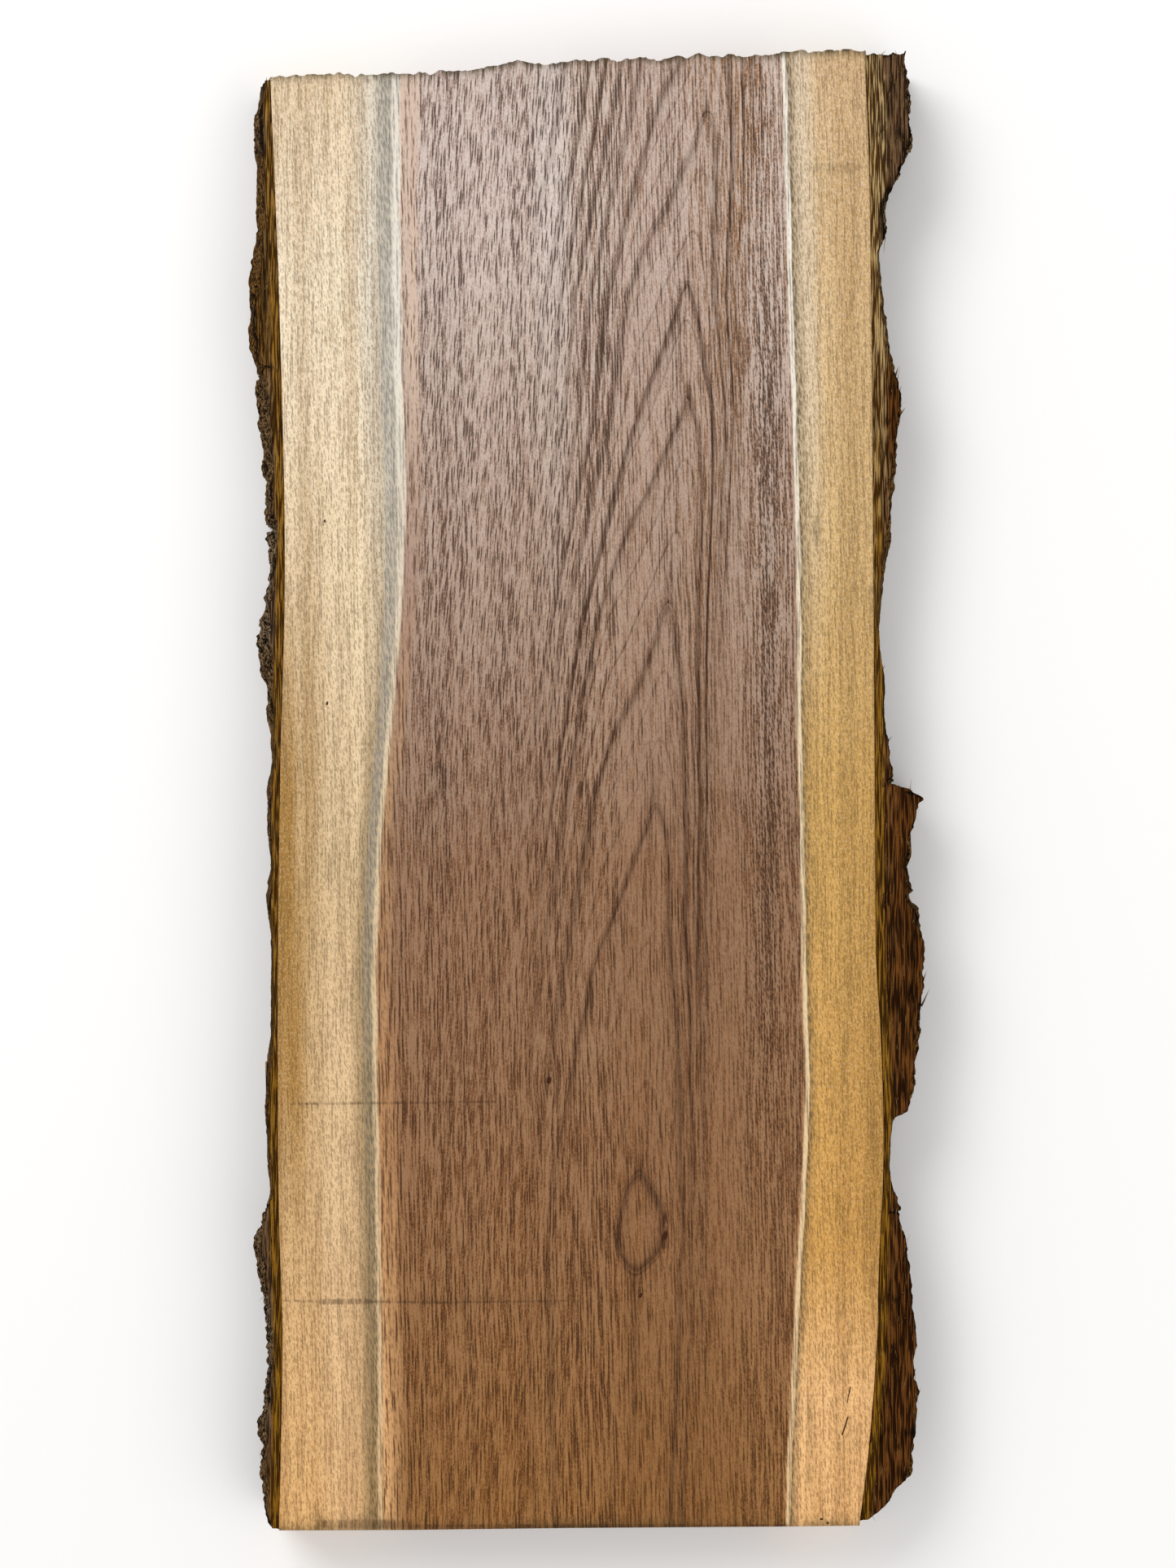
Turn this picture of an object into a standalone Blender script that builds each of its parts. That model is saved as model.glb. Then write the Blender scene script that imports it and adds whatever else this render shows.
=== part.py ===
"""Live-edge walnut slab, lying on its sawn underside.

The board was sawn lengthwise through the trunk, just above the pith, and both edges keep their bark.
+Y runs up the trunk, +X across the board, +Z up. The origin is the middle of the footprint, on the
surface that the board lies on. Outlines are written in millimetres and turned to metres by MM.
"""
import math

import bmesh
import bpy

MM = 0.001

# The board
THICKNESS = 38
CROSS_CUT_SLANT = 0.3
EDGE_STATION_PITCH = 14

# The trunk it was sawn from: the pith slopes down through the board towards the top end
PITH_X = 26
PITH_DEPTH_BOTTOM_END = 28
PITH_DEPTH_TOP_END = 44
TRUNK_HALF_HEIGHT = 150
HALF_LENGTH = 306

# Edges of the sawn face as (distance along the board, distance from the middle line)
WOOD_LEFT_EDGE = (
    (-306, 127.5), (-225, 126), (-178, 127.5), (-94, 128), (6, 127), (90, 125), (191, 127),
    (295, 131),
)
WOOD_RIGHT_EDGE = (
    (-304, 112), (-272, 116), (-225, 119.5), (-198, 120), (-153, 122), (-104, 121), (-71, 119),
    (-10, 118.5), (57, 118), (191, 117), (258, 116), (305, 114),
)

# The top end was cross-cut in short bites that climb to the right: the cusps between them as (x, y)
TOP_END_CUSPS = (
    (-131, 295.3), (-118, 295.6), (-102, 296.2), (-91, 295.8), (-81, 296.4), (-70, 296.2),
    (-61, 297), (-50, 297.4), (-41, 298.6), (-33, 300.2), (-29, 301.2), (-19, 300.2), (-11, 300.6),
    (-4, 301.6), (8, 302.4), (16, 302.2), (23, 303), (28, 301.6), (37, 303), (46, 304), (58, 303.6),
    (70, 304.2), (80, 304.6), (88, 305.4), (100, 305.4), (104, 306.3), (109, 305.6), (114, 305.2),
)
BITE_DEPTH = 0.9
BITE_SHARE = 0.09
POINTS_PER_BITE = 2

# The bottom end was cut with one clean stroke
BOTTOM_END = ((-127.5, -306), (-75, -305.8), (-8, -305), (80, -304.4), (112, -304))

# Bark as (distance along the board, thickness): a thin bast all along, outer bark where it still holds
BARK_LEFT = (
    (295, 2), (287, 2.2), (283, 5), (275, 6), (262, 6.6), (257, 5.2), (225, 6.8), (211, 8.8),
    (206, 10.8), (194, 12), (177, 12), (173, 9.4), (158, 9.8), (150, 9.2), (145, 8), (137, 8.2),
    (133, 6), (129, 7.4), (117, 7.6), (105, 5.2), (97, 5.6), (89, 7.2), (81, 9.8), (61, 10.8),
    (57, 9.2), (52, 6.8), (45, 5.4), (37, 6.6), (29, 3.2), (23, 4), (12, 2.2), (8, 3.4), (0, 5),
    (-24, 4.6), (-28, 3), (-40, 2.6), (-48, 5.2), (-56, 4.4), (-64, 2.4), (-113, 2.2), (-117, 4.6),
    (-145, 5.4), (-167, 3.4), (-173, 6.8), (-177, 8.4), (-181, 11.8), (-187, 11.8), (-195, 10.8),
    (-205, 9), (-214, 7.6), (-229, 6.2), (-246, 7.8), (-257, 10.5), (-266, 10.6), (-271, 9.2),
    (-279, 10), (-290, 8.2), (-298, 8), (-302, 6.6), (-306, 3.8),
)
BARK_RIGHT = (
    (303, 19), (291, 19.6), (287, 18.8), (270, 20.2), (262, 17.4), (257, 16), (249, 12), (242, 8),
    (234, 6.4), (228, 8), (222, 3), (210, 4), (194, 6), (178, 8.4), (173, 10.6), (166, 12),
    (158, 13.4), (150, 12), (129, 9.2), (113, 8.2), (105, 6.4), (89, 3.8), (73, 2.4), (61, 3),
    (45, 5.4), (33, 4.8), (20, 6.8), (4, 8.6), (0.5, 15.6), (-4, 19.4), (-12, 18), (-26, 16),
    (-44, 15), (-48, 18.2), (-60, 19.2), (-65, 21.2), (-76, 20.8), (-84, 21.4), (-94, 19.4),
    (-104, 17.8), (-125, 15.4), (-133, 12.2), (-136.5, 4.8), (-145, 3.6), (-157, 3), (-165, 5),
    (-173, 9.2), (-177, 8.4), (-181, 11), (-190, 13.4), (-201, 15.2), (-214, 15.6), (-229, 18),
    (-238, 17), (-246, 19), (-262, 20.8), (-280, 20.6), (-286, 19.8), (-290, 15.4), (-294, 13.4),
    (-298, 9.6), (-302.5, 3.4),
)
BARK_GAP = 0.3
BARK_STATION_PITCH = 5.2
BAST_THICKNESS = 3
THIN_SOLE = 2.2
SOLE_SHARE = 0.7

# Outer bark breaks up into long slanting ridges: their spacing down the edge and along it
RIDGE_SPACING = 15
RIDGE_LENGTH = 84
RIDGE_RELIEF_SHARE = 0.42
RIDGE_RELIEF_LIMIT = 5.5
RIDGE_CREST_POWER = 0.7
RIDGE_SET_OFFSET = 0.3

# How the ridges wander, as shares of their spacing, with the length in which each swing turns a radian
SLOW_WANDER = 0.18
SLOW_WANDER_LENGTH = 23
QUICK_WANDER = 0.11
QUICK_WANDER_LENGTH = 9.5

# Cross cracks part each ridge into blocks
BLOCK_LENGTH = 26
BLOCK_ROW_SHIFT = 0.5
BLOCK_CRACK_DEPTH = 1.6
BLOCK_CRACK_POWER = 0.5

# The sawn rim of the bark: smoother than the rest, and crumbled back on most of the left edge
RIM_DROP = 0.6
RIM_KEEP = 0.35
SAWN_RIM_LEFT = (172, 252)
CRUMBLED_RIM = 0.55
CRUMBLE_DEPTH = 8

# Broken ends of the plates run on a slant down the edge
BREAK_DRIFT = 14
BREAK_WAVE = 47

# Heights at which the wood and the outside of the bark are drawn
WOOD_LEVELS = (0, 9.5, 19, 28.5, THICKNESS)
BARK_LEVELS = (1.5, 6, 10.5, 15, 19.5, 24, 28.5, 33, THICKNESS - RIM_DROP)

# Colours are linear red, green and blue
WOOD_COLOUR = (0.36, 0.21, 0.11)
WOOD_ROUGHNESS = 0.62
BARK_LEFT_COLOUR = (0.16, 0.10, 0.055)
BARK_RIGHT_COLOUR = (0.12, 0.065, 0.035)
BARK_ROUGHNESS = 0.9

# Edges between faces that meet at more than this stay sharp in the shading
SHARP_ANGLE = math.radians(35)


def remove_everything():
    """Empty the scene, so the model is the only thing in it."""
    for item in list(bpy.data.objects):
        bpy.data.objects.remove(item, do_unlink=True)


def straight_between(points, along):
    """Value at `along` on the broken line through (position, value) points, in either order."""
    ordered = sorted(points)
    if along <= ordered[0][0]:
        return ordered[0][1]
    for (start, low), (end, high) in zip(ordered, ordered[1:]):
        if along <= end:
            return low + (high - low) * (along - start) / (end - start)
    return ordered[-1][1]


def smooth_between(points, along):
    """Value at `along` on a smooth curve through (position, value) points, flat at both ends."""
    ordered = sorted(points)
    if along <= ordered[0][0]:
        return ordered[0][1]
    if along >= ordered[-1][0]:
        return ordered[-1][1]
    index = max(i for i, point in enumerate(ordered) if point[0] <= along)
    before = ordered[max(index - 1, 0)]
    start, end = ordered[index], ordered[index + 1]
    after = ordered[min(index + 2, len(ordered) - 1)]
    span = end[0] - start[0]
    slope_in = (end[1] - before[1]) / (end[0] - before[0])
    slope_out = (after[1] - start[1]) / (after[0] - start[0])
    t = (along - start[0]) / span
    return (
        (2 * t**3 - 3 * t**2 + 1) * start[1] + (t**3 - 2 * t**2 + t) * span * slope_in
        + (3 * t**2 - 2 * t**3) * end[1] + (t**3 - t**2) * span * slope_out
    )


def pith_depth(y):
    """Depth of the pith under the sawn face, `y` along the board."""
    share = (y + HALF_LENGTH) / (2 * HALF_LENGTH)
    return PITH_DEPTH_BOTTOM_END + share * (PITH_DEPTH_TOP_END - PITH_DEPTH_BOTTOM_END)


def trunk_width_share(y, z):
    """Half-width of the trunk at height `z`, as a share of its half-width at the sawn face."""
    below_face = pith_depth(y)
    at_level = 1 - ((z - THICKNESS + below_face) / TRUNK_HALF_HEIGHT) ** 2
    at_face = 1 - (below_face / TRUNK_HALF_HEIGHT) ** 2
    return math.sqrt(at_level / at_face)


def wood_edge(side, y, z):
    """X of the wood's edge under the bark, on the left (-1) or the right (1)."""
    outline = WOOD_LEFT_EDGE if side < 0 else WOOD_RIGHT_EDGE
    face_x = side * smooth_between(outline, y)
    return PITH_X + (face_x - PITH_X) * trunk_width_share(y, z)


def top_end_points():
    """Outline of the cross-cut top end from left to right: cusps with a shallow bite between them."""
    points = []
    for (x_start, y_start), (x_end, y_end) in zip(TOP_END_CUSPS, TOP_END_CUSPS[1:]):
        bite = min(BITE_DEPTH, BITE_SHARE * (x_end - x_start))
        for step in range(POINTS_PER_BITE):
            share = step / POINTS_PER_BITE
            hollow = bite * math.sin(math.pi * share)
            x = x_start + share * (x_end - x_start)
            y = y_start + share * (y_end - y_start) - hollow
            points.append((x, y))
    points.append(TOP_END_CUSPS[-1])
    return points


def spaced(low, high, pitch):
    """Evenly spaced values from `low` to `high`, about `pitch` apart."""
    count = max(1, round((high - low) / pitch))
    return [low + (high - low) * i / count for i in range(count + 1)]


def closed_mesh(name, corners, faces, colour, roughness):
    """Make one closed object from corners in millimetres and faces, with its own material."""
    mesh = bpy.data.meshes.new(name)
    mesh.from_pydata([tuple(MM * value for value in corner) for corner in corners], [], faces)
    work = bmesh.new()
    work.from_mesh(mesh)
    bmesh.ops.recalc_face_normals(work, faces=work.faces)
    work.to_mesh(mesh)
    work.free()
    mesh.shade_smooth()
    mesh.set_sharp_from_angle(angle=SHARP_ANGLE)
    mesh.materials.append(plain_material(name, colour, roughness))
    body = bpy.data.objects.new(name, mesh)
    bpy.context.scene.collection.objects.link(body)
    return body


def plain_material(name, colour, roughness):
    """Principled material in one colour."""
    material = bpy.data.materials.new(name)
    material.use_nodes = True
    shader = material.node_tree.nodes["Principled BSDF"]
    shader.inputs["Base Color"].default_value = (*colour, 1)
    shader.inputs["Roughness"].default_value = roughness
    shader.inputs["Metallic"].default_value = 0
    return material


def ring_faces(ring_count, ring_size):
    """Quads that join each ring of corners to the next one, and one face over each end."""
    faces = []
    for ring in range(ring_count - 1):
        for i in range(ring_size):
            j = (i + 1) % ring_size
            low, high = ring * ring_size, (ring + 1) * ring_size
            faces.append((low + i, low + j, high + j, high + i))
    faces.append(tuple(range(ring_size)))
    faces.append(tuple(range((ring_count - 1) * ring_size, ring_count * ring_size)))
    return faces


def make_wood():
    """The board: one outline drawn at each level, wider below where the trunk was wider."""
    top_end = top_end_points()
    corners = []
    for z in WOOD_LEVELS:
        lean = CROSS_CUT_SLANT * (THICKNESS - z)
        right_side = spaced(BOTTOM_END[-1][1], TOP_END_CUSPS[-1][1], EDGE_STATION_PITCH)
        left_side = spaced(BOTTOM_END[0][1], TOP_END_CUSPS[0][1], EDGE_STATION_PITCH)
        outline = [(x, y) for x, y in BOTTOM_END[1:-1]]
        outline += [(wood_edge(1, y, z), y) for y in right_side]
        for x, y in reversed(top_end[1:-1]):
            outline.append((x, straight_between(top_end, x + lean) if z < THICKNESS else y))
        outline += [(wood_edge(-1, y, z), y) for y in reversed(left_side)]
        corners += [(x, y, z) for x, y in outline]
    faces = ring_faces(len(WOOD_LEVELS), len(corners) // len(WOOD_LEVELS))
    return closed_mesh("wood", corners, faces, WOOD_COLOUR, WOOD_ROUGHNESS)


def ridge_height(side, y, z):
    """Height of the bark's ridges from 0 in a furrow to 1 on a crest: two slanting sets that cross."""
    wander = SLOW_WANDER * math.sin(y / SLOW_WANDER_LENGTH + side)
    wander += QUICK_WANDER * math.sin(y / QUICK_WANDER_LENGTH + 2 * side)
    offset = RIDGE_SET_OFFSET * side
    rising = abs(math.sin(math.pi * (z / RIDGE_SPACING + y / RIDGE_LENGTH + wander)))
    falling = abs(math.sin(math.pi * (z / RIDGE_SPACING - y / RIDGE_LENGTH - wander + offset)))
    return min(rising, falling) ** RIDGE_CREST_POWER


def rim_share(side, y, z):
    """Share of the outer bark that is left near the sawn rim, where it has crumbled back."""
    if side > 0 or SAWN_RIM_LEFT[0] < y < SAWN_RIM_LEFT[1]:
        return 1
    climb = max(0, z - (THICKNESS - CRUMBLE_DEPTH)) / CRUMBLE_DEPTH
    return 1 - (1 - CRUMBLED_RIM) * climb


def bark_thickness(side, y, z):
    """Thickness of the bark at one point: the bast, and over it what is left of the ridged bark."""
    drift = BREAK_DRIFT * (1 - z / THICKNESS) * math.sin(y / BREAK_WAVE)
    full = straight_between(BARK_LEFT if side < 0 else BARK_RIGHT, y + drift)
    outer = max(0, full - BAST_THICKNESS) * rim_share(side, y, z)
    relief = min(RIDGE_RELIEF_LIMIT, RIDGE_RELIEF_SHARE * outer)
    rim = RIM_KEEP if z > BARK_LEVELS[-2] else 1
    row = math.floor(z / RIDGE_SPACING)
    from_crack = abs(math.sin(math.pi * (y / BLOCK_LENGTH + BLOCK_ROW_SHIFT * row)))
    crack = 1 - from_crack**BLOCK_CRACK_POWER
    furrow = relief * (1 - ridge_height(side, y, z))
    split = BLOCK_CRACK_DEPTH * crack * min(1, outer / BAST_THICKNESS)
    thinned = min(full, BAST_THICKNESS + outer) - rim * (furrow + split)
    return max(thinned, min(full, THIN_SOLE))


def bark_stations(side):
    """Places along the board where the bark is drawn: every outline point, and evenly between them."""
    marks = sorted(y for y, _ in (BARK_LEFT if side < 0 else BARK_RIGHT))
    stations = [marks[0]]
    for low, high in zip(marks, marks[1:]):
        stations += spaced(low, high, BARK_STATION_PITCH)[1:]
    return stations


def make_bark(name, side, colour):
    """A strip of bark: one closed section at each station, its inner side following the wood."""
    inner_levels = WOOD_LEVELS[:-1] + (THICKNESS - RIM_DROP / 2,)
    corners = []
    stations = bark_stations(side)
    for y in stations:
        for z in reversed(inner_levels):
            corners.append((wood_edge(side, y, z) + side * BARK_GAP, y, z))
        sole = SOLE_SHARE * bark_thickness(side, y, BARK_LEVELS[0])
        corners.append((wood_edge(side, y, 0) + side * max(sole, THIN_SOLE - BARK_GAP), y, 0))
        for z in BARK_LEVELS:
            corners.append((wood_edge(side, y, z) + side * bark_thickness(side, y, z), y, z))
    faces = ring_faces(len(stations), len(corners) // len(stations))
    return closed_mesh(name, corners, faces, colour, BARK_ROUGHNESS)


def centre_on_footprint(bodies):
    """Shift every piece alike, so the middle of the whole footprint is at the origin."""
    corners = [corner.co for body in bodies for corner in body.data.vertices]
    shift_x = -(min(c.x for c in corners) + max(c.x for c in corners)) / 2
    shift_y = -(min(c.y for c in corners) + max(c.y for c in corners)) / 2
    for body in bodies:
        for corner in body.data.vertices:
            corner.co.x += shift_x
            corner.co.y += shift_y


def make_slab():
    """Build the board and its two strips of bark."""
    remove_everything()
    wood = make_wood()
    bark_left = make_bark("bark_left", -1, BARK_LEFT_COLOUR)
    bark_right = make_bark("bark_right", 1, BARK_RIGHT_COLOUR)
    centre_on_footprint((wood, bark_left, bark_right))


make_slab()
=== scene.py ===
"""Looks of a live-edge walnut slab: rough-sawn wood and torn bark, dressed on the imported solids.

Inside the classes lengths are millimetres, as a sawyer would measure them, and MM turns them to the
frame's metres when a mesh is made. +Y runs up the trunk, +X across the board, +Z up.
"""
import logging
from dataclasses import dataclass
from enum import Enum
from functools import partial
from itertools import product

import bmesh
import bpy
import numpy as np
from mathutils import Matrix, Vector
from mathutils.bvhtree import BVHTree


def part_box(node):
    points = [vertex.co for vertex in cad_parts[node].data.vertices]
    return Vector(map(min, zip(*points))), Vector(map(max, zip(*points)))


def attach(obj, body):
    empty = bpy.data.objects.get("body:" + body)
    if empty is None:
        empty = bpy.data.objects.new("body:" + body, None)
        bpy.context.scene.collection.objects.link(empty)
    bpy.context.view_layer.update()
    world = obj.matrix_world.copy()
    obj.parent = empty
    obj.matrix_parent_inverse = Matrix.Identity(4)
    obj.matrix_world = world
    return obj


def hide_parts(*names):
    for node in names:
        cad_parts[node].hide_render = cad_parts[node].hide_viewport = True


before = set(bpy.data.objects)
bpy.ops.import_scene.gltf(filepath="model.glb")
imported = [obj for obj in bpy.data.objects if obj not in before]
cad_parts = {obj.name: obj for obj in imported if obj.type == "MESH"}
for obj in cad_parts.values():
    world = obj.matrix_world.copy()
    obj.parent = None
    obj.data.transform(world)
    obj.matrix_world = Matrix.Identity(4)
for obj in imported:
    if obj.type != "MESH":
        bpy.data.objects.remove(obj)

MM = 0.001
LOG = logging.getLogger("walnut_slab")
Array, Socket, Tree = np.ndarray, bpy.types.NodeSocket, bpy.types.NodeTree
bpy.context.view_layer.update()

# Settings that many nodes share
SMOOTH = {"interpolation_type": "SMOOTHSTEP"}
BLEND = {"output": 2, "data_type": "RGBA"}
TIMES = {"operation": "MULTIPLY"}
TIMES_PLUS = {"operation": "MULTIPLY_ADD"}

# Noise: factors that scatter neighbouring lattice corners to unlike values, the seeds' steps, and how
# far the lattice is moved so that the slab lies clear of its origin
CORNER_FACTORS = (374761393, 668265263, 2246822519)
MIX_ROUNDS = ((13, 1274126177), (15, 2654435761))
LAST_SHIFT = 16
WORD = 2**32
SEED_STEP, TURN_STEP, FIRST_SEED, LAYER_STEP = 40503, 9176, 7, 31
OWN_TURN = 9
LATTICE_SHIFT = 1000.0


class Side(Enum):
    """The two live edges of the board, as the direction in which their bark faces."""

    LEFT = -1
    RIGHT = 1


def linear(hex_colour: str) -> tuple[float, float, float, float]:
    """Turn an sRGB hex colour to linear RGBA.

    Args:
        hex_colour: colour such as "#8a6420".

    Returns:
        Red, green, blue and alpha for a shader socket.
    """
    parts = [int(hex_colour[i : i + 2], 16) / 255 for i in (1, 3, 5)]
    light = [c / 12.92 if c <= 0.04045 else ((c + 0.055) / 1.055) ** 2.4 for c in parts]
    return (light[0], light[1], light[2], 1.0)


def add_node(
    tree: Tree,
    kind: str,
    inputs: dict | None = None,
    output: int | str = 0,
    stops: tuple | None = None,
    **settings: object,
) -> Socket:
    """Add one node with its settings, values and links.

    Args:
        tree: node tree to add to.
        kind: node type without its "ShaderNode" prefix.
        inputs: input name or index to a value, or to a socket to link from.
        output: which output to hand back.
        stops: a ramp's (position, colour) stops.
        **settings: the node's own settings.

    Returns:
        The chosen output socket.
    """
    node = tree.nodes.new("ShaderNode" + kind)
    for name, value in settings.items():
        setattr(node, name, value)
    if stops:
        ramp = node.color_ramp
        while len(ramp.elements) < len(stops):
            ramp.elements.new(0.5)
        for element, (position, colour) in zip(ramp.elements, stops):
            element.position = position
            element.color = colour
    for key, value in (inputs or {}).items():
        if isinstance(value, Socket):
            tree.links.new(value, node.inputs[key])
        else:
            node.inputs[key].default_value = value
    return node.outputs[output] if len(node.outputs) else None


def blank_material(name: str) -> bpy.types.Material:
    """Make a material without nodes."""
    material = bpy.data.materials.new(name)
    material.use_nodes = True
    material.node_tree.nodes.clear()
    return material


def smooth_step(low: float, high: float, value: Array) -> Array:
    """Rise smoothly from 0 at `low` to 1 at `high`.

    Args:
        low: where the rise starts.
        high: where it ends; below `low` for a fall.
        value: numbers to map.

    Returns:
        The mapped numbers, from 0 to 1.
    """
    share = np.clip((value - low) / (high - low), 0.0, 1.0)
    return share * share * (3.0 - 2.0 * share)


def through(points: tuple, along: Array) -> Array:
    """Follow (position, value) points in order of position; value at each place in `along`."""
    return np.interp(along, [p[0] for p in points], [p[1] for p in points])


def away_from(spot: tuple[float, float], value: Array) -> Array:
    """Distance of each value from the spot (middle, width), in widths."""
    middle, width = spot
    return (value - middle) / width


def bell(*distances: Array) -> Array:
    """Bell curve: 1 where every distance is 0, and 0.37 one width away."""
    return np.exp(-sum(distance**2 for distance in distances))


def limits(value: Socket, span: tuple) -> dict:
    """Inputs of a mapping node: the value, the span's limits, and the values there if it has any."""
    return dict(enumerate((value, *span)))


@dataclass(frozen=True)
class LatticeNoise:
    """Smooth noise for shaping meshes, the same in every run."""

    seed: int  # picks one noise out of many

    def corner(self, ix: Array, iy: Array, iz: Array, turn: int = 0) -> Array:
        """Random value of each lattice corner.

        Args:
            ix: corner numbers along X.
            iy: corner numbers along Y.
            iz: corner numbers along Z.
            turn: picks another value for the same corner.

        Returns:
            Values from 0 to 1.
        """
        seed = (self.seed * SEED_STEP + turn * TURN_STEP + FIRST_SEED) % WORD
        mixed = np.full(ix.shape, seed, dtype=np.uint32)
        for number, factor in zip((ix, iy, iz), CORNER_FACTORS):
            mixed = mixed + number.astype(np.uint32) * np.uint32(factor)
        for shift, factor in MIX_ROUNDS:
            mixed = (mixed ^ (mixed >> np.uint32(shift))) * np.uint32(factor)
        return (mixed ^ (mixed >> np.uint32(LAST_SHIFT))) / (WORD - 1.0)

    def at(self, points: Array, size: tuple[float, float, float]) -> Array:
        """Smooth noise at each point.

        Args:
            points: (n, 3) places in millimetres.
            size: lattice pitch along X, Y and Z in millimetres.

        Returns:
            Values from -1 to 1.
        """
        scaled = points / np.array(size) + LATTICE_SHIFT
        base = np.floor(scaled).astype(np.int64)
        part = smooth_step(0.0, 1.0, scaled - base)
        total = np.zeros(len(points))
        for dx, dy, dz in product((0, 1), repeat=3):
            weight = np.abs(1 - dx - part[:, 0]) * np.abs(1 - dy - part[:, 1])
            weight *= np.abs(1 - dz - part[:, 2])
            total += weight * self.corner(base[:, 0] + dx, base[:, 1] + dy, base[:, 2] + dz)
        return 2.0 * total - 1.0

    def layered(self, points: Array, size: tuple[float, float, float], layers: int) -> Array:
        """Sum of ever finer noise.

        Args:
            points: (n, 3) places in millimetres.
            size: pitch of the coarsest layer in millimetres.
            layers: how many layers, each half the size and half the height of the last.

        Returns:
            Values around 0, mostly within -1 to 1.
        """
        total = np.zeros(len(points))
        for layer in range(layers):
            share = 0.5**layer
            finer = LatticeNoise(self.seed + LAYER_STEP * layer)
            total += share * finer.at(points, tuple(share * s for s in size))
        return total / (2.0 - 0.5 ** (layers - 1))

    def cells(self, points: Array, size: tuple[float, float, float]) -> tuple[Array, Array]:
        """Random cells, like the blocks that bark breaks into.

        Args:
            points: (n, 3) places in millimetres.
            size: usual cell size along X, Y and Z in millimetres.

        Returns:
            Distance to the nearest cell border as a share of the cell size, and each cell's own value.
        """
        scaled = points / np.array(size) + LATTICE_SHIFT
        base = np.floor(scaled).astype(np.int64)
        nearest = np.full(len(points), np.inf)
        second = nearest.copy()
        own = np.zeros(len(points))
        for step in product((-1, 0, 1), repeat=3):
            cell = [base[:, k] + step[k] for k in range(3)]
            offset = [i + self.corner(*cell, turn) for turn, i in enumerate(cell, 1)]
            away = np.sqrt(sum((offset[k] - scaled[:, k]) ** 2 for k in range(3)))
            closer = away < nearest
            second = np.where(closer, nearest, np.minimum(second, away))
            own = np.where(closer, self.corner(*cell, OWN_TURN), own)
            nearest = np.where(closer, away, nearest)
        return second - nearest, own


def mesh_object(name: str, corners: Array, faces: list | Array) -> bpy.types.Object:
    """Make one smooth-shaded mesh object.

    Args:
        name: the piece's name.
        corners: (n, 3) corners in millimetres.
        faces: corner numbers of each face.

    Returns:
        The new object, linked to the scene.
    """
    mesh = bpy.data.meshes.new(name)
    mesh.from_pydata((corners * MM).tolist(), [], faces if isinstance(faces, list) else faces.tolist())
    mesh.shade_smooth()
    piece = bpy.data.objects.new(name, mesh)
    bpy.context.scene.collection.objects.link(piece)
    return piece


def paint(piece: bpy.types.Object, name: str, values: Array) -> None:
    """Store three numbers for each corner of a piece, for its material to read.

    Args:
        piece: object to write to.
        name: attribute name.
        values: (n, 3) numbers.
    """
    layer = piece.data.attributes.new(name, "FLOAT_VECTOR", "POINT")
    layer.data.foreach_set("vector", np.ascontiguousarray(values, dtype=np.float32).ravel())


@dataclass(frozen=True)
class BoardSurvey:
    """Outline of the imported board, felt by straight probes, for everything that has to follow it."""

    board: bpy.types.Object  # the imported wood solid
    stations: int = 240  # how many places along the board are probed
    levels: int = 9  # how many heights are probed
    middle: float = 26.0  # X from which the live edges are probed
    near_end: float = 285.0  # distance along the board from which the ends are probed
    margin: float = 13.0  # how far inside the board's box the first and last probe of an end start
    foot_margin: float = 3.0  # distance of the first probe of an edge from the foot of the box
    head_margin: float = 12.0  # distance of the last one from its head
    skin: float = 0.05  # distance of the first and last height from the faces

    def tree(self) -> BVHTree:
        """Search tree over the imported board."""
        mesh = self.board.data
        corners = [v.co / MM for v in mesh.vertices]
        return BVHTree.FromPolygons(corners, [tuple(p.vertices) for p in mesh.polygons])

    def measure(self) -> "BoardOutline":
        """Probe both edges and both ends.

        Returns:
            The outline as tables over the probed places.
        """
        low, high = (np.array(corner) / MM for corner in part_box("wood"))
        tree = self.tree()
        heights = np.linspace(low[2] + self.skin, high[2] - self.skin, self.levels)
        alongs = np.linspace(low[1] + self.foot_margin, high[1] - self.head_margin, self.stations)
        acrosses = np.linspace(low[0] + self.margin, high[0] - self.margin, self.stations)
        edges, ends = {}, {}
        for side in Side:
            way = Vector((side.value, 0, 0))
            starts = [[Vector((self.middle, y, z)) for z in heights] for y in alongs]
            edges[side] = np.array([[tree.ray_cast(start, way)[0].x for start in row] for row in starts])
        for sign in (-1, 1):
            way = Vector((0, sign, 0))
            starts = [[Vector((x, sign * self.near_end, z)) for z in heights] for x in acrosses]
            ends[sign] = np.array([[tree.ray_cast(start, way)[0].y for start in row] for row in starts])
        return BoardOutline(low, high, heights, alongs, acrosses, edges, ends)


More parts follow.
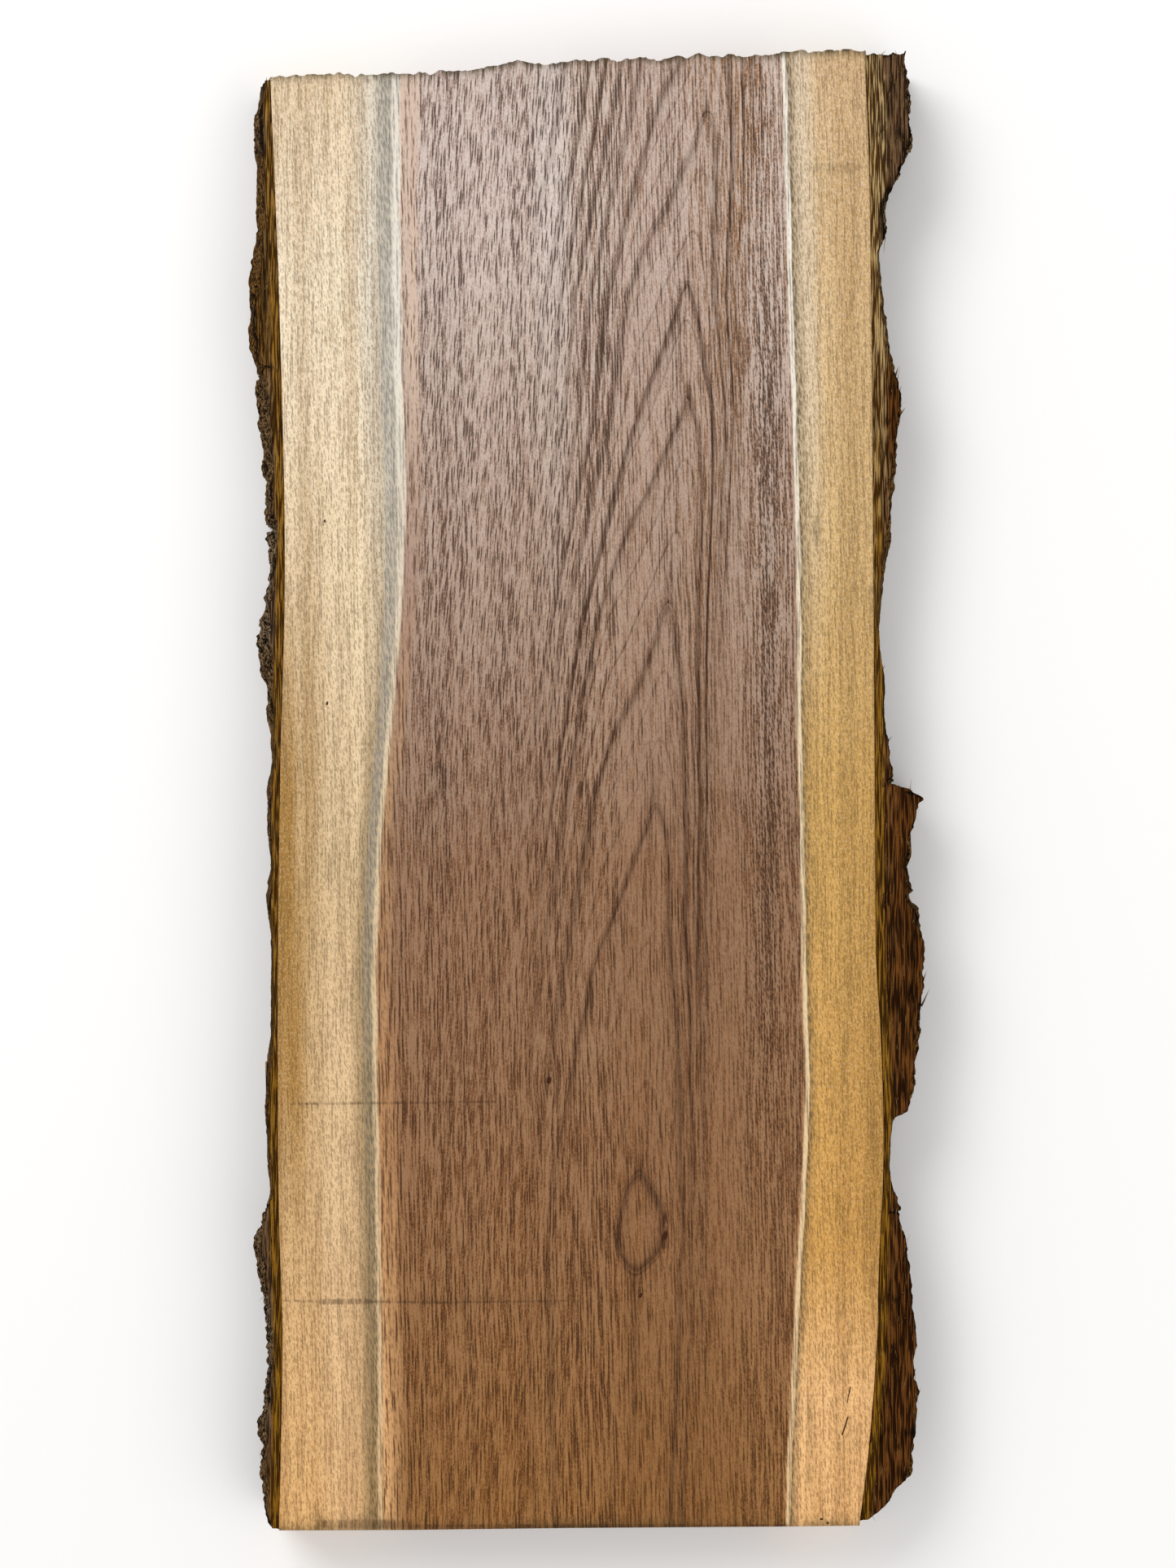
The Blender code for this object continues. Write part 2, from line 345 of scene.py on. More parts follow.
@dataclass(frozen=True)
class BoardOutline:
    """Where the board's edges and ends lie."""

    low: Array  # lowest corner of the board's box
    high: Array  # highest corner
    heights: Array  # probed heights
    alongs: Array  # probed places along the board
    acrosses: Array  # probed places across it
    edges: dict  # X of each live edge over alongs and heights
    ends: dict  # Y of each end over acrosses and heights
    within: float = 0.001  # how far the last place read stays within a table, in rows

    def between(self, places: Array, table: Array, along: Array, z: Array) -> Array:
        """Read a table between its probed places.

        Args:
            places: the probed places of the table's rows.
            table: values over places and heights.
            along: where to read, along the rows.
            z: where to read, in height.

        Returns:
            The value at each place.
        """
        last_row, last_column = len(places) - 1, len(self.heights) - 1
        row = np.interp(along, places, np.arange(last_row + 1))
        column = np.interp(z, self.heights, np.arange(last_column + 1))
        row = np.clip(row, 0, last_row - self.within)
        column = np.clip(column, 0, last_column - self.within)
        i, j = row.astype(int), column.astype(int)
        u, v = row - i, column - j
        upper = table[i, j] * (1 - v) + table[i, j + 1] * v
        lower = table[i + 1, j] * (1 - v) + table[i + 1, j + 1] * v
        return upper * (1 - u) + lower * u

    def edge(self, side: Side, y: Array, z: Array) -> Array:
        """X of a live edge of the wood at each place."""
        return self.between(self.alongs, self.edges[side], y, z)

    def end(self, way: int, x: Array, z: Array) -> Array:
        """Y of the top end (1) or the bottom end (-1) at each place."""
        return self.between(self.acrosses, self.ends[way], x, z)


@dataclass(frozen=True)
class WalnutLog:
    """How the tree grew: pith, rings, heartwood and knots, so that every cut shows the same wood."""

    face_height: float  # height of the sawn face, from which the photo's places are measured
    axis: float = 27.3  # X of the trunk's own axis, about which it widens below the face
    axis_depth: tuple = ((-306, 28), (306, 44))  # (along, depth under the sawn face) of that axis
    trunk_half_height: float = 150.0  # trunk radius across the face
    # (along, across) of the line over the pith, on which the arched rings peak
    crest: tuple = (
        (-306, 20), (-181, 21.3), (-17, 28.3), (65, 32.4), (120, 39), (156, 42.5), (204, 42.1),
        (273, 49.9), (306, 52),
    )
    # (along, ring number) where each ring peaks on the face
    peaks: tuple = ((-181, 0), (-12, 1), (70, 2), (162, 3), (211, 4), (279, 5), (346, 6), (3000, 44))
    eye: float = -181.0  # place along the board where the innermost ring closes
    eye_half_width: float = 8.5  # half the width of that closed ring
    eye_half_length: float = 20.0  # half its length
    # (distance left of the crest, how far below its peak a ring lies there)
    left_arm: tuple = (
        (0, 0), (1, 1.2), (3, 7), (8, 22), (12, 33.5), (16, 44), (20, 54.5), (23, 65), (26, 80), (29, 98),
        (32, 119), (36, 150), (42, 205), (60, 400), (110, 1000),
    )
    ring_drop: float = 4.5  # how much deeper the next ring inwards lies, under the crest
    right_bend: float = 20.0  # distance right of the crest at which a ring's curve turns straight
    right_curve: float = 0.47  # how sharply it curves up to there
    right_lift: float = 188.0  # how far below its peak the ring lies there
    right_slope: float = 18.8  # how steeply it falls from there on
    below_eye: float = 0.35  # how much slower the rings follow each other below the innermost one
    eye_round: float = 8.0  # how rounded the rings' peaks are
    eye_point: float = 1.3  # how pointed the innermost ring is; 2 for an ellipse
    eye_fade: tuple = (1.9, 1.1)  # where its shape gives way to the others', in its own half widths
    eye_ring: tuple = (0.2, 0.8)  # (rings per half width, half widths to its first line) inside it
    waver_size: tuple = (22.0, 60.0, 40.0)  # size of the waves in the rings across, along and up
    waver_width: float = 1.2  # how far they move a ring sideways
    waver_rings: float = 0.12  # how many rings they move it in or out
    # (share, ring pitch) of the differences between one year's ring and the next
    unlike: tuple = (0.6, 1.9)
    unlike_from: tuple = (4.0, 9.0)  # rings over which those differences set in
    flatter: tuple = (0.65, 100.0)  # (share, distance) by which the rings flatten out to the sides
    first_ring: float = 40.0  # number of the innermost ring cut by the face
    # (along, across) of the heartwood's left border on the sawn face
    heart_left: tuple = (
        (-306, -84), (-251, -84), (-175, -85.2), (-70, -86.9), (-17, -84.2), (33, -79.8), (74, -76.1),
        (124, -74.5), (158, -75.5), (225, -76.8), (306, -76.8),
    )
    # the same for its right border
    heart_right: tuple = (
        (-306, 83.8), (-276, 84.5), (-229, 86.8), (-175, 89.8), (-121, 91.9), (-71, 90.2), (-10, 89.5),
        (23, 88.5), (90, 88.2), (124, 87.4), (174, 85.8), (208, 84.8), (258, 83.4), (301, 82.1),
    )
    heart_waver: tuple = (0.45, (40.0, 16.0, 20.0))  # height and size of the waves in that border
    # (across, along, radius) of the pin knots
    knots: tuple = ((-14.8, -120.3, 2.0), (33.0, -184.5, 1.5), (23.0, -209.0, 1.0))
    knot_stretch: float = 1.9  # length over width of the bent grain round a knot
    knot_reach: tuple = (2.2, 3.2)  # how far it reaches across and along, in knot radii
    knot_bend: tuple = (1.5, 0.4)  # (how far the grain moves, how soon) in knot radii

    def on_face(self, points: Array) -> Array:
        """X where the same growth layer meets the sawn face.

        Args:
            points: (n, 3) places at any depth.

        Returns:
            X at the face of each.
        """
        depth = through(self.axis_depth, points[:, 1])
        level = (points[:, 2] - self.face_height + depth) / self.trunk_half_height
        share = np.sqrt((1 - level**2) / (1 - (depth / self.trunk_half_height) ** 2))
        return self.axis + (points[:, 0] - self.axis) / share

    def knot_pull(self, points: Array) -> Array:
        """Bend of the grain round the knots.

        Args:
            points: (n, 3) places.

        Returns:
            Sideways bend in millimetres.
        """
        move, core = self.knot_bend
        across, along = self.knot_reach
        bend = np.zeros(len(points))
        for x, y, radius in self.knots:
            dx, dy = points[:, 0] - x, (points[:, 1] - y) / self.knot_stretch
            fading = np.exp(-np.abs(dx) / (across * radius)) * bell(dy / (along * radius))
            bend += move * radius * np.tanh(dx / (core * radius)) * fading
        return bend

    def rings(self, points: Array, face_x: Array) -> Array:
        """Growth ring number at each place, counted from the innermost ring that the face cuts.

        Args:
            points: (n, 3) places.
            face_x: where their growth layers meet the face.

        Returns:
            Ring numbers, whose whole parts change at each border between rings.
        """
        y = points[:, 1]
        waver = LatticeNoise(5).layered(points, self.waver_size, 3)
        aside = face_x - through(self.crest, y) + self.waver_width * waver
        far = np.abs(aside)
        left = through(self.left_arm, far)
        straight = self.right_lift + self.right_slope * (far - self.right_bend)
        right = np.where(far < self.right_bend, self.right_curve * far**2, straight)
        lift = np.where(aside < 0, left, right)
        over_eye = np.where(y > self.eye, y - self.eye, self.below_eye * (self.eye - y))
        climb = self.eye + np.sqrt(over_eye**2 + self.eye_round**2) + lift
        number = through(self.peaks, climb)

        # The innermost ring closes to a pointed eye
        out_of_eye = (far / self.eye_half_width) ** self.eye_point
        out_of_eye = np.sqrt(out_of_eye + ((y - self.eye) / self.eye_half_length) ** 2)
        pitch, first = self.eye_ring
        number += (pitch * (out_of_eye - first) - number) * smooth_step(*self.eye_fade, out_of_eye)

        # Each year's ring differs from the last, and the rings nest inside each other downwards
        share, years = self.unlike
        unlike = LatticeNoise(7).at(np.column_stack([number, 0 * y, 0 * y]), (years, 1.0, 1.0))
        number = number + share * unlike * smooth_step(*self.unlike_from, number)
        deeper = (self.face_height - points[:, 2]) / self.ring_drop
        flat, wide = self.flatter
        number = number + self.waver_rings * waver - deeper * (1.0 - flat * smooth_step(0.0, wide, far))
        return number + self.first_ring

    def heart(self, points: Array, face_x: Array) -> Array:
        """Distance inside the heartwood's border, negative in the sapwood."""
        y = points[:, 1]
        height, size = self.heart_waver
        waver = height * LatticeNoise(11).layered(points, size, 3)
        left, right = through(self.heart_left, y), through(self.heart_right, y)
        return np.minimum(face_x - left, right - face_x) + waver


@dataclass(frozen=True)
class WoodSignals:
    """What the material knows about each place in the board, as sockets of its node tree."""

    node: partial  # adds a node to that tree
    grain: Socket  # place in millimetres, following the grain
    lean: Socket  # the same, for grain that leans to the right
    ring: Socket  # growth ring number
    pace: Socket  # rings per millimetre on the face
    rise: Socket  # 0 at the bottom end, 1 at the top
    heart: Socket  # distance inside the heartwood's border
    arch: Socket  # 1 where the arched rings show
    calm: Socket  # 1 where the face is smooth, with few vessels
    right: Socket  # 0 left of the crest, 1 at the right border of the heartwood
    tone: Socket  # lighter above 0, darker below it; it holds a stripe of painted highlight too
    border: Socket  # distance outside the heartwood as a share of the grey band's width
    stain: Socket  # how dark handling and drying left it
    leaning: Socket  # how far the grain leans
    gold: Socket  # how golden the sapwood is
    line_width: Socket  # width of the pale line on the heartwood's border
    blush_width: Socket  # width of the tan band inside that line
    crest: Socket  # 1 on the line over the pith


@dataclass(frozen=True)
class WoodSpans:
    """Where each pattern of the sawn wood fades in or out.

    Each span is (from, to), followed by the values there where they aren't 0 and 1. Noise lies around
    0.5 and strokes around 0; heights along the board run from 0 at the foot to 1 at the head.
    """

    # Strokes by distance from their middle, and how unlike they are
    stroke: tuple = (0.62, 0.08, -1.0, 1.0)
    stroke_own: tuple = (0.0, 1.0, 0.5, 1.0)

    # Ring lines: strength, inner end, rings too close to tell apart, shade beside a line, early wood
    arch_strength: tuple = (0.0, 1.0, 0.5, 0.85)
    thin_strength: tuple = (0.0, 1.0, 0.3, 0.95)
    line_end: tuple = (-0.1, 0.5)
    apart: tuple = (0.5, 0.15)
    ring_shade: tuple = (7.0, 0.0)
    early: tuple = (0.3, 0.0)

    # Vessels: shares of short and long strokes, then how dark a run of strokes has to be to show
    upper_run: tuple = (0.4, 0.85, 0.95, 1.0)
    lively: tuple = (0.0, 1.0, 0.55, 0.75)
    steady: tuple = (0.0, 1.0, 0.75, 0.4)
    still: tuple = (0.0, 1.0, 1.0, 0.8)
    vessel_run: tuple = (0.05, 0.6)
    pale_run: tuple = (0.0, -0.65)
    dash_run: tuple = (0.22, 0.8)
    fleck_run: tuple = (-0.15, 0.5)
    end_grain: tuple = (0.55, 0.8, 1.0, 0.2)

    # Heartwood
    stripe: tuple = (0.48, 0.6, 0.0, 0.22)
    lighter: tuple = (0.0, 1.0, 0.0, 0.55)
    darker: tuple = (0.0, -1.0, 0.0, 0.6)
    quiet: tuple = (0.0, 1.0, 1.0, 0.7)
    patchy: tuple = (0.0, 1.0, 0.45, 1.0)
    clear: tuple = (0.35, 0.75, 1.7, 1.0)
    line_strength: tuple = (0.2, 0.95, 0.7, 0.85)

    # Sapwood, and in it the grey band by distance from the heartwood in band widths
    vary: tuple = (0.35, 0.65, 0.6, 1.3)
    chalk_near: tuple = (2.8, 1.2)
    chalk_upper: tuple = (0.5, 0.8, 0.0, 0.8)
    chalk_left: tuple = (0.0, 1.0, 1.0, 0.5)
    left: tuple = (0.0, 1.0, 1.0, 0.0)
    low: tuple = (0.75, 0.45, 0.12, 1.0)
    mottle: tuple = (0.4, 0.75, 0.6, 0.55)
    speckle: tuple = (-0.6, 0.5)
    band_inner: tuple = (1.2, 0.6)
    band_edge: tuple = (1.2, 0.0, 0.0, 0.55)
    band_fading: tuple = (1.3, 0.0, 0.0, 1.0)
    cream: tuple = (7.5, 4.0, 0.0, 0.08)

    # The heartwood's border: tan band inside, pale line outside
    ragged: tuple = (0.3, 0.7, -0.9, 0.9)
    blush_fade: tuple = (0.36, 0.6, 0.1, 0.85)
    streaky: tuple = (0.4, 0.6, 0.95, 0.6)
    inside: tuple = (-0.3, 0.5)
    line_outer: tuple = (-1.1, -0.6)
    line_inner: tuple = (1.2, 0.3)
    broken: tuple = (-0.5, 0.6, 0.95, 0.5)
    line_clear: tuple = (0.0, 1.0, 0.72, 1.0)

    # Dirt and sticker lines
    uneven: tuple = (0.3, 0.6, 0.55, 1.0)
    scored: tuple = (0.34, 0.66, 0.1, 0.6)


@dataclass(frozen=True)
class SawnWalnut:
    """Black walnut, rough-sawn and unoiled: dull, open-pored, with dark vessel lines along the grain.

    The eye gets a cool mauve-grey heart at the top end that warms to brown at the foot, cream sapwood
    with tan flecks, and a pale line with a grey band where the two meet. The paler, greyer top end is
    partly the wood's own colour and partly painted highlight of light glancing along the face. Real
    vessels are 0.2 mm wide; they are drawn 0.5 mm wide and 1 mm apart, so that they show.
    """

    # Colours from the bottom end to the top: ground of the heartwood, its vessels, the fibres between.
    # Here and below, the paler, greyer top end of the stops is partly painted highlight.
    heart: tuple = (
        (0.0, "#7f5022"), (0.25, "#7b4e2c"), (0.45, "#825a3e"), (0.7, "#a0826f"), (0.85, "#bda498"),
        (1.0, "#ae9286"),
    )
    vessel: tuple = ((0.0, "#45260e"), (0.45, "#462c1b"), (0.9, "#54423a"))
    pale: tuple = ((0.0, "#a87846"), (0.45, "#a38268"), (0.9, "#dccec4"))

    # Sapwood on the left and the right, and its flecks
    sap_left: tuple = (
        (0.0, "#eebb7c"), (0.2, "#e7c08e"), (0.42, "#e2c191"), (0.62, "#eed6b0"), (0.85, "#f0dfc2"),
        (1.0, "#e0c7a4"),
    )
    sap_right: tuple = (
        (0.0, "#f6c082"), (0.09, "#ffca8c"), (0.19, "#dca556"), (0.5, "#d8ab62"), (0.68, "#e2c088"),
        (1.0, "#dcbc92"),
    )
    fleck: tuple = ((0.0, "#a06c34"), (0.45, "#94703a"), (1.0, "#a98558"))

    # The heartwood's border: pale line, tan band inside with its flecks, grey band outside
    line: tuple = ((0.0, "#eac594"), (0.5, "#e6d0aa"), (0.8, "#efe7d9"))
    blush: tuple = (
        (0.0, "#e6b27a"), (0.3, "#c08e60"), (0.5, "#b38c66"), (0.64, "#a68674"), (0.8, "#cdb4a0"),
    )
    blush_fleck: tuple = ((0.0, "#74492a"), (0.8, "#8a6650"))
    band: tuple = (
        (0.0, "#806640"), (0.3, "#87785f"), (0.5, "#968c7e"), (0.8, "#aaa499"), (1.0, "#989186"),
    )

    # Single colours
    golden: str = "#a47838"  # sapwood near the bark
    warm: str = "#9c6d42"  # arches and right side of the heartwood towards the top
    shade: str = "#553a2a"  # the heartwood's darker streaks
    olive: str = "#74603f"  # outer edge of the left band
    chalk: str = "#dfd8c9"  # palest sapwood
    latewood: str = "#42291a"  # ring lines and sticker lines
    umber: str = "#5f5038"  # band on the right
    stain: str = "#463c22"  # dirt at the ends
    mark: str = "#3a2412"  # checks and specks
    knot: str = "#43220f"

    # Distance between strokes and their usual length, scatter from 0 to 1, rise per column in columns
    vessel_width: float = 1.05
    vessel_length: float = 13.0
    long_width: float = 1.15
    long_length: float = 34.0
    fleck_width: float = 1.0
    fleck_length: float = 3.4
    scatter: float = 0.85
    stagger: float = 0.62

    # Widths and lengths of the saw's grit marks and of the streaks that several vessels share
    grit_size: float = 0.62
    stripe_width: float = 1.1
    stripe_length: float = 120.0
    band_size: tuple = (2.8, 160.0)
    broad_size: tuple = (11.0, 240.0)
    clump_size: tuple = (2.4, 26.0)

    # Width of a ring line and of the thin lines between two rings, and how many of these there are
    latewood_width: float = 3.2
    thin_line_width: float = 1.3
    thin_lines: float = 3.0

    # Strengths: ring lines on the right, warm colour, where the olive edge lies, how the right band fades
    side_share: float = 0.1
    warmth: float = 0.7
    band_middle: float = 1.05
    fading_power: float = 1.6
    spans: WoodSpans = WoodSpans()

    # Strength of each pattern in a run of vessels, and how far dashes and flecks follow that run
    run_calm: float = -0.15
    run_finer: float = 0.6
    run_levels: tuple = (("clumps", 0.4), ("bands", 0.6))
    run_rings: tuple = (("late", 0.3), ("early", 0.15), ("smear", 0.35), ("thin", 0.25))
    dash_tone: float = -0.6
    run_share: float = 0.4

    # (pattern, from, to, strength, colour) of what lies over the ground colours
    heart_shades: tuple = (("broad", 0.4, 0.66, 0.12), ("bands", 0.38, 0.66, 0.2))
    # Glints of the heartwood: the pale ones are partly paler fibres, partly painted highlight
    heart_glints: tuple = (
        ("grit", 0.5, 0.34, 0.32, "pale"), ("grit", 0.5, 0.66, 0.288, "vessel"),
        ("pale", 0.0, 1.0, 0.6, "pale"),
    )
    sap_flecks: tuple = (
        ("bands", 0.42, 0.66, 0.3, "fleck"), ("clumps", 0.42, 0.66, 0.1, "fleck"),
        ("flecks", 0.0, 1.0, 0.42, "fleck"), ("grit", 0.46, 0.64, 0.26, "fleck"),
        ("grit", 0.48, 0.34, 0.2, "line"),
    )

    # Strength of the smears, the thin lines and the shade beside a ring line, and of flecks in the tan band
    line_shares: tuple = (("smear", 0.8), ("thin", 0.8), ("shade", 0.3))
    tan_flecks: tuple = (("vessels", 0.95), ("flecks", 0.45))

    # Where the tan band ends, in its own widths, and where a mark's edge starts and ends, in its radii
    blush_edge: float = 1.15
    mark_edge: tuple = (1.7, 0.7)

    # Relief
    relief: float = 0.9
    relief_depth: float = 0.7
    fleck_relief: float = 0.3
    vessel_relief: float = 0.6

    # (x, y, x, y, radius) of checks and specks, of pin knots, and of the thin dark lines across the face
    face_height: float = 38.0
    marks: tuple = (
        (106.3, -266.5, 108.6, -259.4, 0.3),
        (108.3, -253.3, 109.6, -247.0, 0.25),
        (-106.5, 35.0, -106.3, 35.6, 0.4),
        (-107.4, 110.3, -107.4, 110.8, 0.35),
        (97.5, -301.4, 97.9, -301.4, 0.4),
        (100.2, -303.0, 100.4, -303.0, 0.4),
    )
    knots: tuple = (
        (-14.9, -120.9, -14.7, -119.8, 0.8),
        (32.8, -185.4, 33.3, -183.6, 0.85),
        (22.9, -209.4, 23.2, -208.6, 0.55),
    )
    scores: tuple = (
        (-121.0, -130.0, -62.0, -129.5, 0.45),
        (-66.0, -129.4, -37.0, -129.1, 0.35),
        (-124.0, -211.2, -107.0, -211.7, 0.4),
        (-109.0, -211.7, -89.0, -211.5, 0.9),
        (-90.0, -211.6, -58.0, -212.1, 0.45),
        (-60.0, -212.0, -8.0, -211.3, 0.35),
        (-95.5, -303.2, -80.5, -303.5, 1.5),
        (-109.0, -303.3, -73.0, -303.6, 1.3),
        (-73.0, -304.3, 84.0, -304.2, 0.6),
    )

    # Dull, as sawn wood is, with the usual refraction of wood's cell walls
    roughness: float = 0.7
    specular: float = 0.12
    refraction: float = 1.5

    def streaks(
        self, node: partial, fibre: Socket, width: float, length: float, detail: float = 0.0
    ) -> Socket:
        """Noise drawn out along the grain.

        Args:
            node: adds a node.
            fibre: coordinates in millimetres that follow the grain.
            width: usual width of a streak.
            length: usual length of a streak.
            detail: layers of finer noise.

        Returns:
            A value around 0.5.
        """
        pitch = (1 / width, 1 / length, 1 / width)
        scaled = node("VectorMath", {0: fibre, 1: pitch}, **TIMES)
        return node("TexNoise", {"Vector": scaled, "Scale": 1.0, "Detail": detail, "Roughness": 0.5})

    def strokes(self, node: partial, fibre: Socket, width: float, length: float) -> Socket:
        """Separate strokes scattered evenly along the grain, like cut vessels.

        Args:
            node: adds a node.
            fibre: coordinates in millimetres that follow the grain.
            width: distance between strokes across the grain.
            length: distance between strokes along it.

        Returns:
            A value from -1 between strokes to 1 in the middle of the strongest.
        """
        # Each column of cells starts a good half cell higher than the last, so that no rows show
        dot = {"output": "Value", "operation": "DOT_PRODUCT"}
        across = node("VectorMath", {0: fibre, 1: (1 / width, 0.0, 0.0)}, **dot)
        along = node("VectorMath", {0: fibre, 1: (self.stagger / width, 1 / length, 0.0)}, **dot)
        scaled = node("CombineXYZ", {0: across, 1: along, 2: 0.0})
        away = node(
            "TexVoronoi",
            {"Vector": scaled, "Scale": 1.0, "Randomness": self.scatter},
            output="Distance",
            voronoi_dimensions="2D",
        )
        depth = node("MapRange", limits(away, self.spans.stroke))
        own = node("SeparateXYZ", {0: away.node.outputs["Color"]})
        own = node("MapRange", limits(own, self.spans.stroke_own))
        return node("Math", {0: depth, 1: own}, **TIMES)

    def signals(self, node: partial) -> WoodSignals:
        """Read what the board stored at its corners.

        Args:
            node: adds a node.

        Returns:
            What is known of each place.
        """
        grain, lean, *others = (
            node("Attribute", output="Vector", attribute_name=name)
            for name in ("grain", "lean", "growth", "zone", "place", "marks", "edging")
        )
        parts = []
        for vector in others:
            parts += node("SeparateXYZ", {0: vector}).node.outputs
        return WoodSignals(node, grain, lean, *parts)

    def figure(self, at: WoodSignals) -> dict[str, Socket]:
        """Patterns of the cut grain.

        Args:
            at: what is known of each place.

        Returns:
            Named values: vessels, pale fibres, flecks and ring lines from 0 to 1, plain noise around 0.5.
        """
        node = at.node
        patterns = {}
        for name, width, length in (
            ("fine", self.vessel_width, self.vessel_length),
            ("finer", 0.85 * self.vessel_width, 0.6 * self.vessel_length),
            ("long", self.long_width, self.long_length),
            ("short", self.fleck_width, self.fleck_length),
        ):
            patterns[name] = self.strokes(node, at.grain, width, length)
            if name != "long":
                slanted = self.strokes(node, at.lean, width, 0.8 * length)
                mixed = {0: at.leaning, 2: patterns[name], 3: slanted}
                patterns[name] = node("Mix", mixed, data_type="FLOAT")
        patterns["grit"] = self.streaks(node, at.grain, self.grit_size, 1.7 * self.grit_size)
        patterns["stripes"] = self.streaks(node, at.grain, self.stripe_width, self.stripe_length)
        patterns["bands"] = self.streaks(node, at.grain, *self.band_size, 2.0)
        patterns["broad"] = self.streaks(node, at.grain, *self.broad_size, 1.0)
        patterns["clumps"] = self.streaks(node, at.grain, *self.clump_size, 2.0)
        patterns |= self.ring_lines(at)
        patterns |= self.vessels(at, patterns)

        # The ends show cut-off pores, not strokes
        facing = node("SeparateXYZ", {0: node("NewGeometry", output="True Normal")}).node.outputs["Y"]
        facing = node("Math", {0: facing}, operation="ABSOLUTE")
        across = node("MapRange", limits(facing, self.spans.end_grain))
        for name in ("vessels", "pale", "dashes", "flecks"):
            patterns[name] = node("Math", {0: patterns[name], 1: across}, **TIMES)
        return patterns

    def ring_lines(self, at: WoodSignals) -> dict[str, Socket]:
        """Growth ring patterns: strong and single in the arches, weak and many at the right border.

        Args:
            at: what is known of each place.

        Returns:
            Named values from 0 to 1.
        """
        node, spans = at.node, self.spans
        part = node("Math", {0: at.ring}, operation="FRACT")
        to_line = node("Math", {0: 1.0, 1: part}, operation="SUBTRACT")
        before = node("Math", {0: to_line, 1: at.pace}, operation="DIVIDE")
        whole = node("Math", {0: at.ring}, operation="FLOOR")
        own = node("TexWhiteNoise", {"W": whole}, output="Value", noise_dimensions="1D")
        in_arch = node("MapRange", limits(own, spans.arch_strength))
        in_arch = node("Math", {0: in_arch, 1: at.arch}, **TIMES)
        at_side = node("Math", {0: own, 1: at.right}, **TIMES)
        strength = node("Math", {0: at_side, 1: self.side_share, 2: in_arch}, **TIMES_PLUS)
        strength = node("Clamp", {0: strength})
        wide = self.latewood_width
        line = node("MapRange", {0: before, 1: wide, 2: 0.3 * wide}, **SMOOTH)
        end = node("MapRange", limits(before, spans.line_end), **SMOOTH)
        apart = node("MapRange", limits(to_line, spans.apart), **SMOOTH)
        for share in (end, apart, strength):
            line = node("Math", {0: line, 1: share}, **TIMES)
        shade = node("MapRange", limits(before, spans.ring_shade), **SMOOTH)
        for share in (apart, strength):
            shade = node("Math", {0: shade, 1: share}, **TIMES)
        early = node("MapRange", limits(part, spans.early), **SMOOTH)
        early = node("Math", {0: early, 1: strength}, **TIMES)
        smear = node("Math", {0: early, 1: at.crest}, **TIMES)

        # Thin lines between two rings
        steps = node("Math", {0: at.ring, 1: self.thin_lines}, **TIMES)
        rest = node("Math", {0: steps}, operation="FRACT")
        for share in (self.thin_lines, at.pace):
            rest = node("Math", {0: rest, 1: share}, operation="DIVIDE")
        wide = self.thin_line_width
        thin = node("MapRange", {0: rest, 1: wide, 2: 0.25 * wide}, **SMOOTH)
        number = node("Math", {0: steps}, operation="FLOOR")
        own = node("TexWhiteNoise", {"W": number}, output="Value", noise_dimensions="1D")
        own = node("MapRange", limits(own, spans.thin_strength))
        own = node("Math", {0: own, 1: at.arch}, **TIMES)
        thin = node("Math", {0: thin, 1: own}, **TIMES)
        return {"late": line, "shade": shade, "early": early, "smear": smear, "thin": thin}

    def vessels(self, at: WoodSignals, seen: dict) -> dict[str, Socket]:
        """How dark the vessels run: short strokes where the grain leans, longer ones elsewhere.

        Args:
            at: what is known of each place.
            seen: strokes, streaks and ring patterns.

        Returns:
            Vessels, pale fibres, dashes and flecks, from 0 to 1.
        """
        node, spans = at.node, self.spans
        upper = node("MapRange", limits(at.rise, spans.upper_run), **SMOOTH)
        lively = node("MapRange", limits(at.leaning, spans.lively))
        lively = node("Math", {0: lively, 1: upper}, **TIMES)
        finer = node("Math", {0: lively, 1: self.run_finer}, **TIMES)
        steady = node("MapRange", limits(at.leaning, spans.steady))
        still = node("MapRange", limits(at.calm, spans.still))
        steady = node("Math", {0: steady, 1: still}, **TIMES)
        run = node("Math", {0: at.calm, 1: self.run_calm}, **TIMES)
        for name, share in (("fine", lively), ("finer", finer), ("long", steady)):
            run = node("Math", {0: seen[name], 1: share, 2: run}, **TIMES_PLUS)
        for name, share in self.run_levels:
            level = node("Math", {0: seen[name], 1: 0.5}, operation="SUBTRACT")
            run = node("Math", {0: level, 1: share, 2: run}, **TIMES_PLUS)
        for name, share in self.run_rings:
            run = node("Math", {0: seen[name], 1: share, 2: run}, **TIMES_PLUS)
        dash = node("Math", {0: at.tone, 1: self.dash_tone, 2: seen["short"]}, **TIMES_PLUS)
        dashes = node("Math", {0: run, 1: self.run_share, 2: dash}, **TIMES_PLUS)
        flecks = node("Math", {0: run, 1: self.run_share, 2: seen["short"]}, **TIMES_PLUS)
        return {
            name: node("MapRange", limits(value, span), **SMOOTH)
            for name, value, span in (
                ("vessels", run, spans.vessel_run),
                ("pale", run, spans.pale_run),
                ("dashes", dashes, spans.dash_run),
                ("flecks", flecks, spans.fleck_run),
            )
        }

    def colours(self, at: WoodSignals, stops: tuple) -> Socket:
        """Colour that changes along the board, from its (position, hex colour) stops."""
        return at.node("ValToRGB", {"Fac": at.rise}, stops=tuple((p, linear(c)) for p, c in stops))

